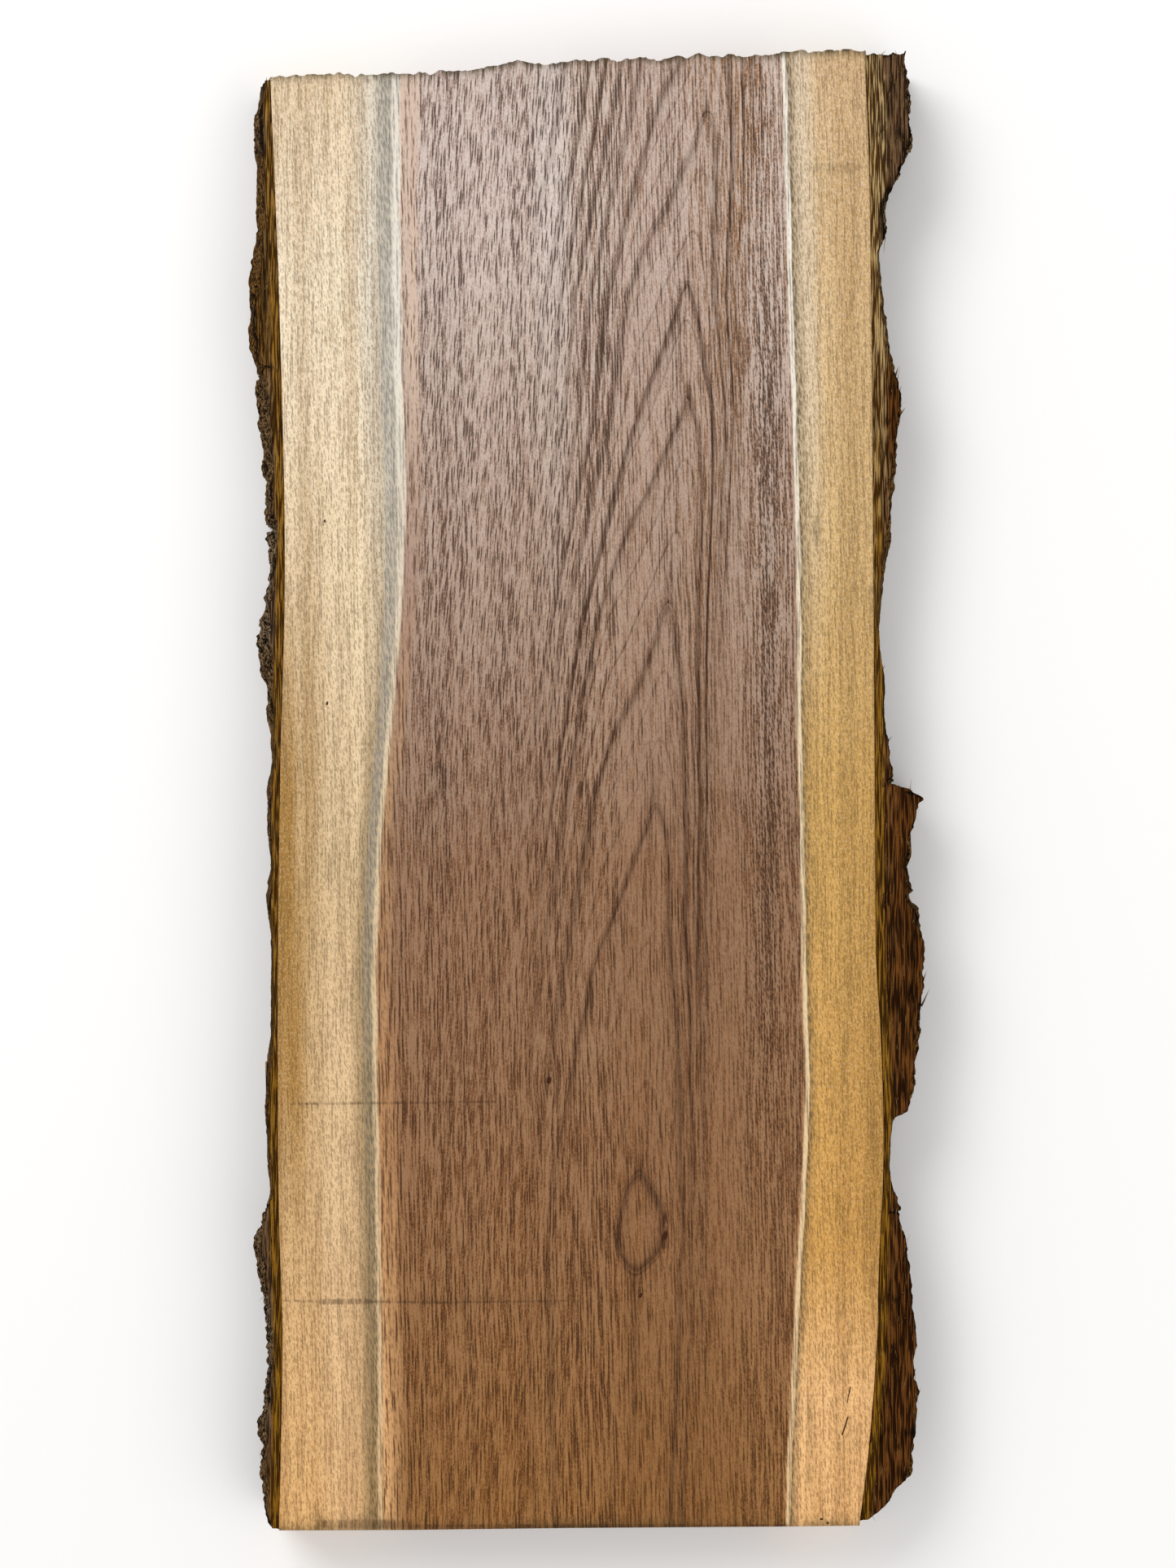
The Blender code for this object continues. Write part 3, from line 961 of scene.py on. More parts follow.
    def heartwood(self, at: WoodSignals, seen: dict) -> Socket:
        """Colour of the heartwood.

        Args:
            at: what is known of each place.
            seen: the figure's patterns.

        Returns:
            The colour.
        """
        node, spans = at.node, self.spans
        pairs = (("vessel", self.vessel), ("pale", self.pale))
        colours = {name: self.colours(at, stops) for name, stops in pairs}
        ground = self.colours(at, self.heart)
        warm = node("Math", {0: at.arch, 1: self.warmth, 2: at.right}, **TIMES_PLUS)
        for share in (at.rise, self.warmth):
            warm = node("Math", {0: warm, 1: share}, **TIMES)
        ground = node("Mix", {0: warm, 6: ground, 7: linear(self.warm)}, **BLEND)
        for name, low, high, share in self.heart_shades:
            band = node("MapRange", limits(seen[name], (low, high, 0.0, share)), **SMOOTH)
            ground = node("Mix", {0: band, 6: ground, 7: linear(self.shade)}, **BLEND)
        stripe = node("MapRange", limits(seen["stripes"], spans.stripe), **SMOOTH)
        stripe = node("Math", {0: stripe, 1: at.right}, **TIMES)
        ground = node("Mix", {0: stripe, 6: ground, 7: linear(self.shade)}, **BLEND)
        # Lighter and darker places; the lighter ones take in a stripe of painted highlight
        for span, colour in ((spans.lighter, colours["pale"]), (spans.darker, linear(self.shade))):
            share = node("MapRange", limits(at.tone, span))
            ground = node("Mix", {0: share, 6: ground, 7: colour}, **BLEND)
        quiet = node("MapRange", limits(at.calm, spans.quiet))
        # Glints: the pale ones are partly painted highlight
        for name, low, high, share, colour in self.heart_glints:
            glint = node("MapRange", limits(seen[name], (low, high, 0.0, share)), **SMOOTH)
            glint = node("Math", {0: glint, 1: quiet}, **TIMES)
            ground = node("Mix", {0: glint, 6: ground, 7: colours[colour]}, **BLEND)

        # Ring lines, then vessels over them
        (smear, smears), (thin, thins), (shade, shades) = self.line_shares
        line = node("Math", {0: seen[smear], 1: smears, 2: seen["late"]}, **TIMES_PLUS)
        line = node("Math", {0: seen[thin], 1: thins, 2: line}, **TIMES_PLUS)
        patchy = node("MapRange", limits(seen["vessels"], spans.patchy))
        clear = node("MapRange", limits(at.rise, spans.clear), **SMOOTH)
        for share in (patchy, clear):
            line = node("Math", {0: line, 1: share}, **TIMES)
        line = node("Math", {0: seen[shade], 1: shades, 2: line}, use_clamp=True, **TIMES_PLUS)
        ground = node("Mix", {0: line, 6: ground, 7: linear(self.latewood)}, **BLEND)
        lines = node("Mix", {0: at.right, 2: seen["vessels"], 3: seen["dashes"]}, data_type="FLOAT")
        strength = node("MapRange", limits(at.rise, spans.line_strength), **SMOOTH)
        strength = node("Math", {0: strength, 1: quiet}, **TIMES)
        lines = node("Math", {0: lines, 1: strength}, **TIMES)
        return node("Mix", {0: lines, 6: ground, 7: colours["vessel"]}, **BLEND)

    def sapwood(self, at: WoodSignals, seen: dict) -> Socket:
        """Colour of the sapwood with the grey band at its inner border.

        Args:
            at: what is known of each place.
            seen: the figure's patterns.

        Returns:
            The colour.
        """
        node, spans = at.node, self.spans
        right = self.colours(at, self.sap_right)
        ground = self.colours(at, self.sap_left)
        ground = node("Mix", {0: at.right, 6: ground, 7: right}, **BLEND)
        vary = node("MapRange", limits(seen["broad"], spans.vary), **SMOOTH)
        gold = node("Math", {0: at.gold, 1: vary}, **TIMES)
        ground = node("Mix", {0: gold, 6: ground, 7: linear(self.golden)}, **BLEND)
        near = node("MapRange", limits(at.border, spans.chalk_near), **SMOOTH)
        upper = node("MapRange", limits(at.rise, spans.chalk_upper), **SMOOTH)
        chalky = node("MapRange", limits(at.right, spans.chalk_left))
        for share in (near, upper):
            chalky = node("Math", {0: chalky, 1: share}, **TIMES)
        ground = node("Mix", {0: chalky, 6: ground, 7: linear(self.chalk)}, **BLEND)
        pairs = (("fleck", self.fleck), ("line", self.line))
        colours = {name: self.colours(at, stops) for name, stops in pairs}
        for name, low, high, share, colour in self.sap_flecks:
            soft = node("MapRange", limits(seen[name], (low, high, 0.0, share)), **SMOOTH)
            ground = node("Mix", {0: soft, 6: ground, 7: colours[colour]}, **BLEND)

        # Left: a speckled band, olive at its outer edge; right: dark against the pale line, fading outwards
        left = node("MapRange", limits(at.right, spans.left))
        low = node("MapRange", limits(at.rise, spans.low), **SMOOTH)
        cream = node("MapRange", limits(at.border, spans.cream), **SMOOTH)
        edge = node("Math", {0: at.border, 1: self.band_middle}, operation="SUBTRACT")
        edge = node("Math", {0: edge}, operation="ABSOLUTE")
        edge = node("MapRange", limits(edge, spans.band_edge), **SMOOTH)
        for band, colour in ((cream, self.chalk), (edge, self.olive)):
            for share in (low, left):
                band = node("Math", {0: band, 1: share}, **TIMES)
            ground = node("Mix", {0: band, 6: ground, 7: linear(colour)}, **BLEND)
        mottle = node("MapRange", limits(at.rise, spans.mottle), **SMOOTH)
        speckle = node("MapRange", limits(seen["short"], (*spans.speckle, mottle, 1.0)), **SMOOTH)
        inner = node("MapRange", limits(at.border, spans.band_inner), **SMOOTH)
        fading = node("MapRange", limits(at.border, spans.band_fading))
        fading = node("Math", {0: fading, 1: self.fading_power}, operation="POWER")
        inner = node("Mix", {0: at.right, 2: inner, 3: fading}, data_type="FLOAT")
        inner = node("Math", {0: inner, 1: speckle}, **TIMES)
        band = self.colours(at, self.band)
        band = node("Mix", {0: at.right, 6: band, 7: linear(self.umber)}, **BLEND)
        return node("Mix", {0: inner, 6: ground, 7: band}, **BLEND)

    def marked(self, node: partial, marks: tuple) -> Socket:
        """How deep a place lies in one of some marks.

        Args:
            node: adds a node.
            marks: (x, y, x, y, radius) of each.

        Returns:
            A value from 0 to 1.
        """
        edge, core = self.mark_edge
        place = node("TexCoord", output="Object")
        place = node("VectorMath", {0: place, "Scale": 1 / MM}, operation="SCALE")
        deepest = None
        for x0, y0, x1, y1, radius in marks:
            start = Vector((x0, y0, self.face_height))
            run = Vector((x1, y1, self.face_height)) - start
            share = run / run.length_squared
            offset = node("VectorMath", {0: place, 1: start}, operation="SUBTRACT")
            along = node("VectorMath", {0: offset, 1: share}, output="Value", operation="DOT_PRODUCT")
            along = node("Clamp", {0: along})
            nearest = node("VectorMath", {0: run, "Scale": along}, operation="SCALE")
            away = node("VectorMath", {0: offset, 1: nearest}, output="Value", operation="DISTANCE")
            depth = node("MapRange", {0: away, 1: edge * radius, 2: core * radius}, **SMOOTH)
            deepest = depth if deepest is None else node("Math", {0: deepest, 1: depth}, operation="MAXIMUM")
        return deepest

    def joined(self, at: WoodSignals, seen: dict) -> Socket:
        """Heartwood and sapwood with their border: a tan band inside, widest on the left, and a pale line.

        Args:
            at: what is known of each place.
            seen: the figure's patterns.

        Returns:
            The colour.
        """
        node, spans = at.node, self.spans
        sapwood = self.sapwood(at, seen)
        heartwood = self.heartwood(at, seen)
        ragged = node("MapRange", limits(seen["clumps"], spans.ragged))
        inset = node("Math", {0: at.heart, 1: ragged}, operation="ADD")
        blush = node("Math", {0: inset, 1: at.blush_width}, operation="DIVIDE")
        fade = node("MapRange", limits(at.rise, spans.blush_fade), **SMOOTH)
        blush = node("MapRange", {0: blush, 1: self.blush_edge, 2: fade}, **SMOOTH)
        streaky = node("MapRange", limits(seen["bands"], spans.streaky), **SMOOTH)
        blush = node("Math", {0: blush, 1: streaky}, **TIMES)
        tan = self.colours(at, self.blush)
        dark = self.colours(at, self.blush_fleck)
        for name, share in self.tan_flecks:
            fleck = node("Math", {0: seen[name], 1: share}, **TIMES)
            tan = node("Mix", {0: fleck, 6: tan, 7: dark}, **BLEND)
        heartwood = node("Mix", {0: blush, 6: heartwood, 7: tan}, **BLEND)
        inside = node("MapRange", limits(at.heart, spans.inside), **SMOOTH)
        wood = node("Mix", {0: inside, 6: sapwood, 7: heartwood}, **BLEND)

        # The pale line, broken by the longest vessels
        outer = node("Math", {0: at.heart, 1: at.line_width}, operation="DIVIDE")
        line = node("MapRange", limits(outer, spans.line_outer), **SMOOTH)
        inner = node("MapRange", limits(at.heart, spans.line_inner), **SMOOTH)
        broken = node("MapRange", limits(seen["long"], spans.broken), **SMOOTH)
        clear = node("MapRange", limits(at.right, spans.line_clear))
        for share in (inner, broken, clear):
            line = node("Math", {0: line, 1: share}, **TIMES)
        return node("Mix", {0: line, 6: wood, 7: self.colours(at, self.line)}, **BLEND)

    def make(self) -> bpy.types.Material:
        """Build the material.

        Returns:
            The material, which reads the attributes that the board stores.
        """
        material = blank_material("sawn_walnut")
        node = partial(add_node, material.node_tree)
        at = self.signals(node)
        seen = self.figure(at)
        wood = self.joined(at, seen)

        # Dirt at the ends, then sticker lines, knots, checks and specks
        uneven = node("MapRange", limits(seen["clumps"], self.spans.uneven), **SMOOTH)
        dirt = node("Math", {0: at.stain, 1: uneven}, **TIMES)
        score = node("MapRange", limits(seen["clumps"], self.spans.scored))
        score = node("Math", {0: score, 1: self.marked(node, self.scores)}, **TIMES)
        for share, colour in (
            (dirt, self.stain),
            (score, self.latewood),
            (self.marked(node, self.knots), self.knot),
            (self.marked(node, self.marks), self.mark),
        ):
            wood = node("Mix", {0: share, 6: wood, 7: linear(colour)}, **BLEND)

        relief = node("Math", {0: seen["flecks"], 1: self.fleck_relief}, **TIMES)
        relief = node("Math", {0: seen["vessels"], 1: self.vessel_relief, 2: relief}, **TIMES_PLUS)
        height = {"Strength": self.relief, "Distance": self.relief_depth * MM, "Height": relief}
        shader = node(
            "BsdfPrincipled",
            {
                "Base Color": wood,
                "Roughness": self.roughness,
                "Specular IOR Level": self.specular,
                "IOR": self.refraction,
                "Normal": node("Bump", height, invert=True),
            },
        )
        node("OutputMaterial", {"Surface": shader})
        return material


@dataclass(frozen=True)
class TornBark:
    """Walnut bark as the saw and the weather left it: dull, fibrous, split along the trunk.

    Next to the wood the eye gets golden-brown bast in fine strands; beyond it the reddish brown, corky
    outer bark, nearly black in its cracks, which hold painted shade; and outside the grey-brown weathered
    ridges, with painted shade between them. Real fibres are 0.1 mm wide; they are drawn 0.5 mm wide so
    that they show.
    """

    # Dark and light colour of the inner bark, of fresh and of aged outer bark, of torn bast, of greyed
    # outer bark and of the outside
    bast: tuple = ("#3a2206", "#8a6018")
    cork: tuple = ("#200c02", "#66380c")
    amber: tuple = ("#301c05", "#76521f")
    straw: tuple = ("#42290f", "#c2a673")
    dusky: tuple = ("#2c1d13", "#6e5640")
    weathered: tuple = ("#221409", "#8a7458")
    # Near black of the cracks and of the painted shade in hollows, in gaps and on the sides
    crack_and_shade: str = "#080502"

    # Width and length of the finest fibres, of bundles of them, of torn threads and of crumbs outside
    strands: tuple = (0.42, 9.0)
    cords: tuple = (0.6, 22.0)
    threads: tuple = (0.75, 14.0)
    crumbs: tuple = (0.8, 1.28)

    # Where each one's noise turns from dark to light, and how dark the painted shade in hollows and cracks
    # gets
    fibre_span: tuple = (0.7, 0.96)
    thread_span: tuple = (0.72, 0.98)
    crumb_span: tuple = (0.42, 0.6)
    crack_shade_span: tuple = (0.1, 1.0, 0.0, 0.93)
    cord_share: float = 0.6

    # The bast, where beyond it the outer bark starts and is full, and how far that border wanders
    bast_thickness: float = 3.9
    bast_border: tuple = (0.5, 1.2)
    border_wander: float = 1.6

    # Relief, and the dull surface of cork
    relief: float = 0.8
    relief_depth: float = 0.9
    roughness: float = 0.9
    specular: float = 0.04
    refraction: float = 1.45

    def make(self) -> bpy.types.Material:
        """Build the material.

        Returns:
            The material, which reads the attributes that the strips store.
        """
        material = blank_material("torn_bark")
        node = partial(add_node, material.node_tree)
        names = ("grain", "bark", "tint")
        stored = {name: node("Attribute", output="Vector", attribute_name=name) for name in names}
        depth, shade_in_hollows, weathered = node("SeparateXYZ", {0: stored["bark"]}).node.outputs
        straw, grey, red = node("SeparateXYZ", {0: stored["tint"]}).node.outputs
        noise = {}
        for name, (width, length), detail in (
            ("strands", self.strands, 0.0),
            ("cords", self.cords, 0.0),
            ("threads", self.threads, 0.0),
            ("crumbs", self.crumbs, 1.0),
        ):
            pitch = (1 / width, 1 / length, 1 / width)
            scaled = node("VectorMath", {0: stored["grain"], 1: pitch}, **TIMES)
            settings = {"Vector": scaled, "Scale": 1.0, "Detail": detail, "Roughness": 0.55}
            noise[name] = node("TexNoise", settings)
        both = node("Math", {0: noise["cords"], 1: self.cord_share, 2: noise["strands"]}, **TIMES_PLUS)
        fibre = node("MapRange", limits(both, self.fibre_span), **SMOOTH)
        thread = node("Math", {0: noise["threads"], 1: self.cord_share, 2: noise["strands"]}, **TIMES_PLUS)
        thread = node("MapRange", limits(thread, self.thread_span), **SMOOTH)
        crumb = node("MapRange", limits(noise["crumbs"], self.crumb_span), **SMOOTH)
        tones = {}
        for name, share, (dark, light) in (
            ("bast", fibre, self.bast),
            ("cork", fibre, self.cork),
            ("amber", fibre, self.amber),
            ("dusky", fibre, self.dusky),
            ("straw", thread, self.straw),
            ("ridge", crumb, self.weathered),
            ("brown", crumb, (self.cork[0], self.amber[1])),
        ):
            tones[name] = node("Mix", {0: share, 6: linear(dark), 7: linear(light)}, **BLEND)

        # The cut face from the wood outwards, then the weathered outside, then cracks and painted shade over
        # both
        wander = node("Math", {0: noise["cords"], 1: self.border_wander, 2: depth}, **TIMES_PLUS)
        start, full = (self.bast_thickness + step for step in self.bast_border)
        beyond = node("MapRange", {0: wander, 1: start, 2: full}, **SMOOTH)
        cork = node("Mix", {0: red, 6: tones["amber"], 7: tones["cork"]}, **BLEND)
        cork = node("Mix", {0: grey, 6: cork, 7: tones["dusky"]}, **BLEND)
        cut = node("Mix", {0: beyond, 6: tones["bast"], 7: cork}, **BLEND)
        cut = node("Mix", {0: straw, 6: cut, 7: tones["straw"]}, **BLEND)
        skin = node("Mix", {0: grey, 6: tones["brown"], 7: tones["ridge"]}, **BLEND)
        colour = node("Mix", {0: weathered, 6: cut, 7: skin}, **BLEND)
        painted_shade_share = node("MapRange", limits(shade_in_hollows, self.crack_shade_span), **SMOOTH)
        colour = node("Mix", {0: painted_shade_share, 6: colour, 7: linear(self.crack_and_shade)}, **BLEND)
        relief = node("Math", {0: both, 1: noise["crumbs"]}, operation="ADD")
        height = {"Strength": self.relief, "Distance": self.relief_depth * MM, "Height": relief}
        shader = node(
            "BsdfPrincipled",
            {
                "Base Color": colour,
                "Roughness": self.roughness,
                "Specular IOR Level": self.specular,
                "IOR": self.refraction,
                "Normal": node("Bump", height),
            },
        )
        node("OutputMaterial", {"Surface": shader})
        return material


def zip_rows(first: list[int], second: list[int]) -> list[tuple[int, int, int]]:
    """Join two rows of corners that run side by side, with triangles.

    Args:
        first: corner numbers of one row.
        second: corner numbers of the other, in the same direction.

    Returns:
        The triangles.
    """
    faces = []
    i = j = 0
    while i < len(first) - 1 or j < len(second) - 1:
        step_first = i < len(first) - 1 and (
            j == len(second) - 1 or (i + 1) / (len(first) - 1) <= (j + 1) / (len(second) - 1)
        )
        if step_first:
            faces.append((first[i], first[i + 1], second[j]))
            i += 1
        else:
            faces.append((first[i], second[j + 1], second[j]))
            j += 1
    return faces


@dataclass(frozen=True)
class WoodGrowth:
    """What each corner of the board stores for its finish: how the wood grew there, and dirt.

    A span is (from, to) of a soft step, a spot is (middle, width) of a bell curve. Places across are those
    where a growth layer meets the sawn face, and heights along the board run from 0 at the foot to 1 at
    the head.
    """

    outline: BoardOutline
    log: WalnutLog

    # Grain: its waves, how far it leans, and the step that measures the rings' pace
    wave_size: tuple = (30.0, 50.0, 40.0)
    slant: float = 0.12
    probe: float = 0.5
    least_pace: float = 0.02

    # Where the right side, the leaning grain, the arches and the calm strip beside them lie
    right_span: tuple = (30.0, 66.0)
    lean_reach: tuple = (4.0, 22.0)
    lean_middle: tuple = (90.0, 30.0)
    lean_start: tuple = (-84.0, -60.0)
    lean_fade: tuple = (0.0, -14.0)
    lean_share: tuple = (0.6, 0.4)
    lean_rise: tuple = (0.3, 0.7)
    arch_start: tuple = (-34.0, 6.0)
    arch_fade: tuple = (30.0, 14.0)
    calm_start: tuple = (6.0, 20.0)
    calm_fade: tuple = (74.0, 58.0)
    crest_width: float = 2.4

    # Widths of the bands along the heartwood's border
    band_right: tuple = (3.6, 1.4)
    band_rise: tuple = (0.35, 0.8)
    band_left: tuple = ((0.0, 3.8), (0.35, 4.2), (0.52, 4.8), (0.7, 6.5), (0.95, 7.5))
    line_right: float = 1.2
    line_left: tuple = (1.6, 1.9)
    line_rise: tuple = (0.55, 0.72)
    line_share: float = 0.7
    blush_right: float = 1.7
    blush_left: float = 5.6
    blush_ends: tuple = ((0.5, 0.75, 1.9), (0.5, 0.34, 4.4))

    # Lighter and darker stripes of the heartwood: spot, strength, then spans along the board. The first
    # stripe is a painted highlight that grows towards the top end; the others are the wood's own colour.
    painted_sheen: tuple = (-13.0, 7.0)
    painted_sheen_share: tuple = (0.25, 0.95)
    painted_sheen_rise: tuple = (0.45, 0.85)
    rim: tuple = (-64.0, 8.0)
    rim_share: float = 0.2
    rim_rises: tuple = ((0.6, 0.85), (0.3, 0.15))
    blotch: tuple = ((-58.4, 3.8), (2.0, 9.0))
    blotch_share: float = 1.3
    drift_size: tuple = (16.0, 90.0, 40.0)
    drift_share: float = 0.35
    beside: tuple = (58.0, 9.0)
    beside_share: float = 0.12
    pored: tuple = (75.0, 6.0)
    pored_share: float = 0.75
    pored_rises: tuple = ((0.1, 0.45), (1.0, 0.66))
    pored_foot: float = 0.25
    pored_foot_rise: tuple = (0.25, 0.1)
    dark_border: tuple = (-66.0, 11.0)
    dark_border_share: float = 0.24

    # Golden sapwood: spans from the heartwood (0) to the bark (1), strength along the board
    gold_left: tuple = (0.4, 0.9)
    gold_left_rise: tuple = (
        (0.0, 0.15), (0.12, 0.2), (0.22, 0.5), (0.3, 0.75), (0.5, 0.75), (0.64, 0.25), (0.75, 0.0),
    )
    gold_right: tuple = (0.2, 0.8)
    gold_right_share: tuple = (0.2, 0.8)
    gold_right_rise: tuple = (
        (0.0, 0.1), (0.1, 0.15), (0.2, 0.5), (0.5, 0.55), (0.64, 0.5), (0.75, 0.4), (0.95, 0.35),
    )

    # Dirt: at the foot, at the head, under stickers, two smudges on the right
    patch_size: tuple = (26.0, 8.0, 20.0)
    foot_corner: tuple = (9.0, 1.5)
    foot_corner_spans: tuple = ((-128.0, -108.0), (-70.0, -86.0))
    foot_corner_share: float = 0.8
    foot: tuple = (4.5, 0.8)
    foot_share: float = 0.85
    head: tuple = (6.0, 0.0)
    head_share: float = 0.5
    head_rim: tuple = (2.0, 0.4)
    head_rim_share: float = 0.6
    stickers: tuple = (
        ((-129.5, 1.2), ((-124.0, -112.0), (-30.0, -44.0))),
        ((-211.5, 1.5), ((-128.0, -112.0), (0.0, -14.0))),
        ((256.5, 2.2), ((86.0, 96.0),)),
    )
    sticker_share: float = 0.22
    sticker_patches: float = 1.6
    smudge: tuple = ((95.2, 1.3), (106.0, 6.0))
    smudge_share: float = 0.4
    streak: tuple = (92.3, 0.9)
    streak_spans: tuple = ((-292.0, -285.0), (-244.0, -256.0))
    streak_share: float = 0.35
    below_face: tuple = (5.0, 0.5)
    below_share: float = 0.2

    def store(self, piece: bpy.types.Object, corners: Array) -> None:
        """Store the wood's growth at each corner of the board.

        Args:
            piece: the board.
            corners: its corners in millimetres.
        """
        _, y, z = corners.T
        face_x = self.log.on_face(corners)
        heart = self.log.heart(corners, face_x)
        wave = LatticeNoise(41).layered(corners, self.wave_size, 3)
        grain_x = face_x - self.log.knot_pull(corners) + wave
        rise = (y - self.outline.low[1]) / (self.outline.high[1] - self.outline.low[1])
        right = smooth_step(*self.right_span, face_x)
        on_right = right > 0.5
        usual, more = self.band_right
        band_right = usual + more * smooth_step(*self.band_rise, rise)
        band_width = np.where(on_right, band_right, through(self.band_left, rise))
        usual, more = self.lean_reach
        lean_end = usual + more * smooth_step(*self.lean_middle, np.abs(y))
        leaning = smooth_step(*self.lean_start, face_x) * smooth_step(*self.lean_fade, face_x - lean_end)
        usual, more = self.lean_share
        leaning *= usual + more * smooth_step(*self.lean_rise, rise)
        beyond = face_x - through(self.log.crest, y)
        arch = smooth_step(*self.arch_start, face_x) * smooth_step(*self.arch_fade, beyond)
        calm = smooth_step(*self.calm_start, face_x) * smooth_step(*self.calm_fade, face_x)
        rings = self.log.rings(corners, face_x)
        aside = self.log.rings(corners + (self.probe, 0, 0), face_x + self.probe) - rings
        above = self.log.rings(corners + (0, self.probe, 0), face_x) - rings
        pace = np.maximum(np.hypot(aside, above) / self.probe, self.least_pace)
        usual, more = self.line_left
        line_width = np.where(on_right, self.line_right, usual + more * smooth_step(*self.line_rise, rise))
        widening = sum(more * smooth_step(low, high, rise) for low, high, more in self.blush_ends)
        blush_width = np.where(on_right, self.blush_right, self.blush_left + widening)
        border = -(heart + self.line_share * line_width) / band_width
        gold = self.gold(y, face_x, rise, on_right)
        for name, values in (
            ("grain", (grain_x, y, z)),
            ("lean", (grain_x - self.slant * y, y, z)),
            ("growth", (rings, pace, rise)),
            ("zone", (heart, arch, calm)),
            ("marks", (self.stains(corners), leaning, gold)),
            ("place", (right, self.tone(corners, face_x, rise), border)),
            ("edging", (line_width, blush_width, bell(beyond / self.crest_width))),
        ):
            paint(piece, name, np.column_stack(values))

    def tone(self, corners: Array, face_x: Array, rise: Array) -> Array:
        """Where the heartwood is lighter (above 0) or darker (below it) than usual, with a stripe of painted
        highlight.

        Args:
            corners: places in millimetres.
            face_x: where their growth layers meet the face.
            rise: 0 at the bottom end, 1 at the top.

        Returns:
            Values from -1 to 1.
        """
        # A stripe of painted highlight, strongest towards the top end
        usual, more = self.painted_sheen_share
        painted_sheen = bell(away_from(self.painted_sheen, face_x)) * (usual + more * smooth_step(*self.painted_sheen_rise, rise))
        ends = np.maximum(*(smooth_step(*span, rise) for span in self.rim_rises))
        rim = self.rim_share * bell(away_from(self.rim, face_x)) * ends
        across, along = self.blotch
        blotch = self.blotch_share * bell(away_from(across, face_x), away_from(along, corners[:, 1]))
        drift = self.drift_share * LatticeNoise(43).layered(corners, self.drift_size, 2)
        pored = self.pored_share
        for span in self.pored_rises:
            pored = pored * smooth_step(*span, rise)
        pored = pored - self.pored_foot * smooth_step(*self.pored_foot_rise, rise)
        beside = self.beside_share * bell(away_from(self.beside, face_x))
        beside -= pored * bell(away_from(self.pored, face_x))
        border = self.dark_border_share * bell(away_from(self.dark_border, face_x))
        return np.clip(painted_sheen + rim + beside + drift - blotch - border, -1.0, 1.0)

    def gold(
        self, y: Array, face_x: Array, rise: Array, on_right: Array
    ) -> Array:
        """How golden the sapwood is: most near the bark and half way along the board.

        Args:
            y: places along the board.
            face_x: where their growth layers meet the face.
            rise: 0 at the bottom end, 1 at the top.
            on_right: which places belong to the right live edge.

        Returns:
            Shares from 0 to 1.
        """
        top_face = np.full(len(y), self.outline.high[2] - 0.1)
        left_edge = self.outline.edge(Side.LEFT, y, top_face)
        right_edge = self.outline.edge(Side.RIGHT, y, top_face)
        left_heart, right_heart = through(self.log.heart_left, y), through(self.log.heart_right, y)
        left = smooth_step(*self.gold_left, (left_heart - face_x) / (left_heart - left_edge))
        left *= through(self.gold_left_rise, rise)
        usual, more = self.gold_right_share
        right = smooth_step(*self.gold_right, (face_x - right_heart) / (right_edge - right_heart))
        right = (usual + more * right) * through(self.gold_right_rise, rise)
        return np.clip(np.where(on_right, right, left), 0.0, 1.0)

    def stains(self, places: Array) -> Array:
        """How much dirt lies at each place, from 0 to 1."""
        x, y, z = places.T
        foot = y - self.outline.end(-1, x, z)
        head = self.outline.end(1, x, z) - y
        patch = 0.5 + 0.5 * LatticeNoise(51).layered(places, self.patch_size, 2)
        corner = smooth_step(*self.foot_corner, foot)
        for span in self.foot_corner_spans:
            corner = corner * smooth_step(*span, x)
        foot_all = self.foot_share * smooth_step(*self.foot, foot) * patch
        head_all = self.head_share * smooth_step(*self.head, head) * patch
        head_all = head_all + self.head_rim_share * smooth_step(*self.head_rim, head)
        sticker = 0.0
        for spot, spans in self.stickers:
            line = self.sticker_share * bell(away_from(spot, y))
            for span in spans:
                line = line * smooth_step(*span, x)
            sticker = sticker + line
        across, along = self.smudge
        smudge = self.smudge_share * bell(away_from(across, x), away_from(along, y))
        streak = self.streak_share * bell(away_from(self.streak, x))
        for span in self.streak_spans:
            streak = streak * smooth_step(*span, y)
        dirt = self.foot_corner_share * corner * patch + foot_all + head_all
        dirt = dirt + sticker * patch * self.sticker_patches + (smudge + streak)
        deep, shallow = (self.outline.high[2] - depth for depth in self.below_face)
        upper = self.below_share + (1 - self.below_share) * smooth_step(deep, shallow, z)
        return np.clip(dirt * upper, 0.0, 1.0)


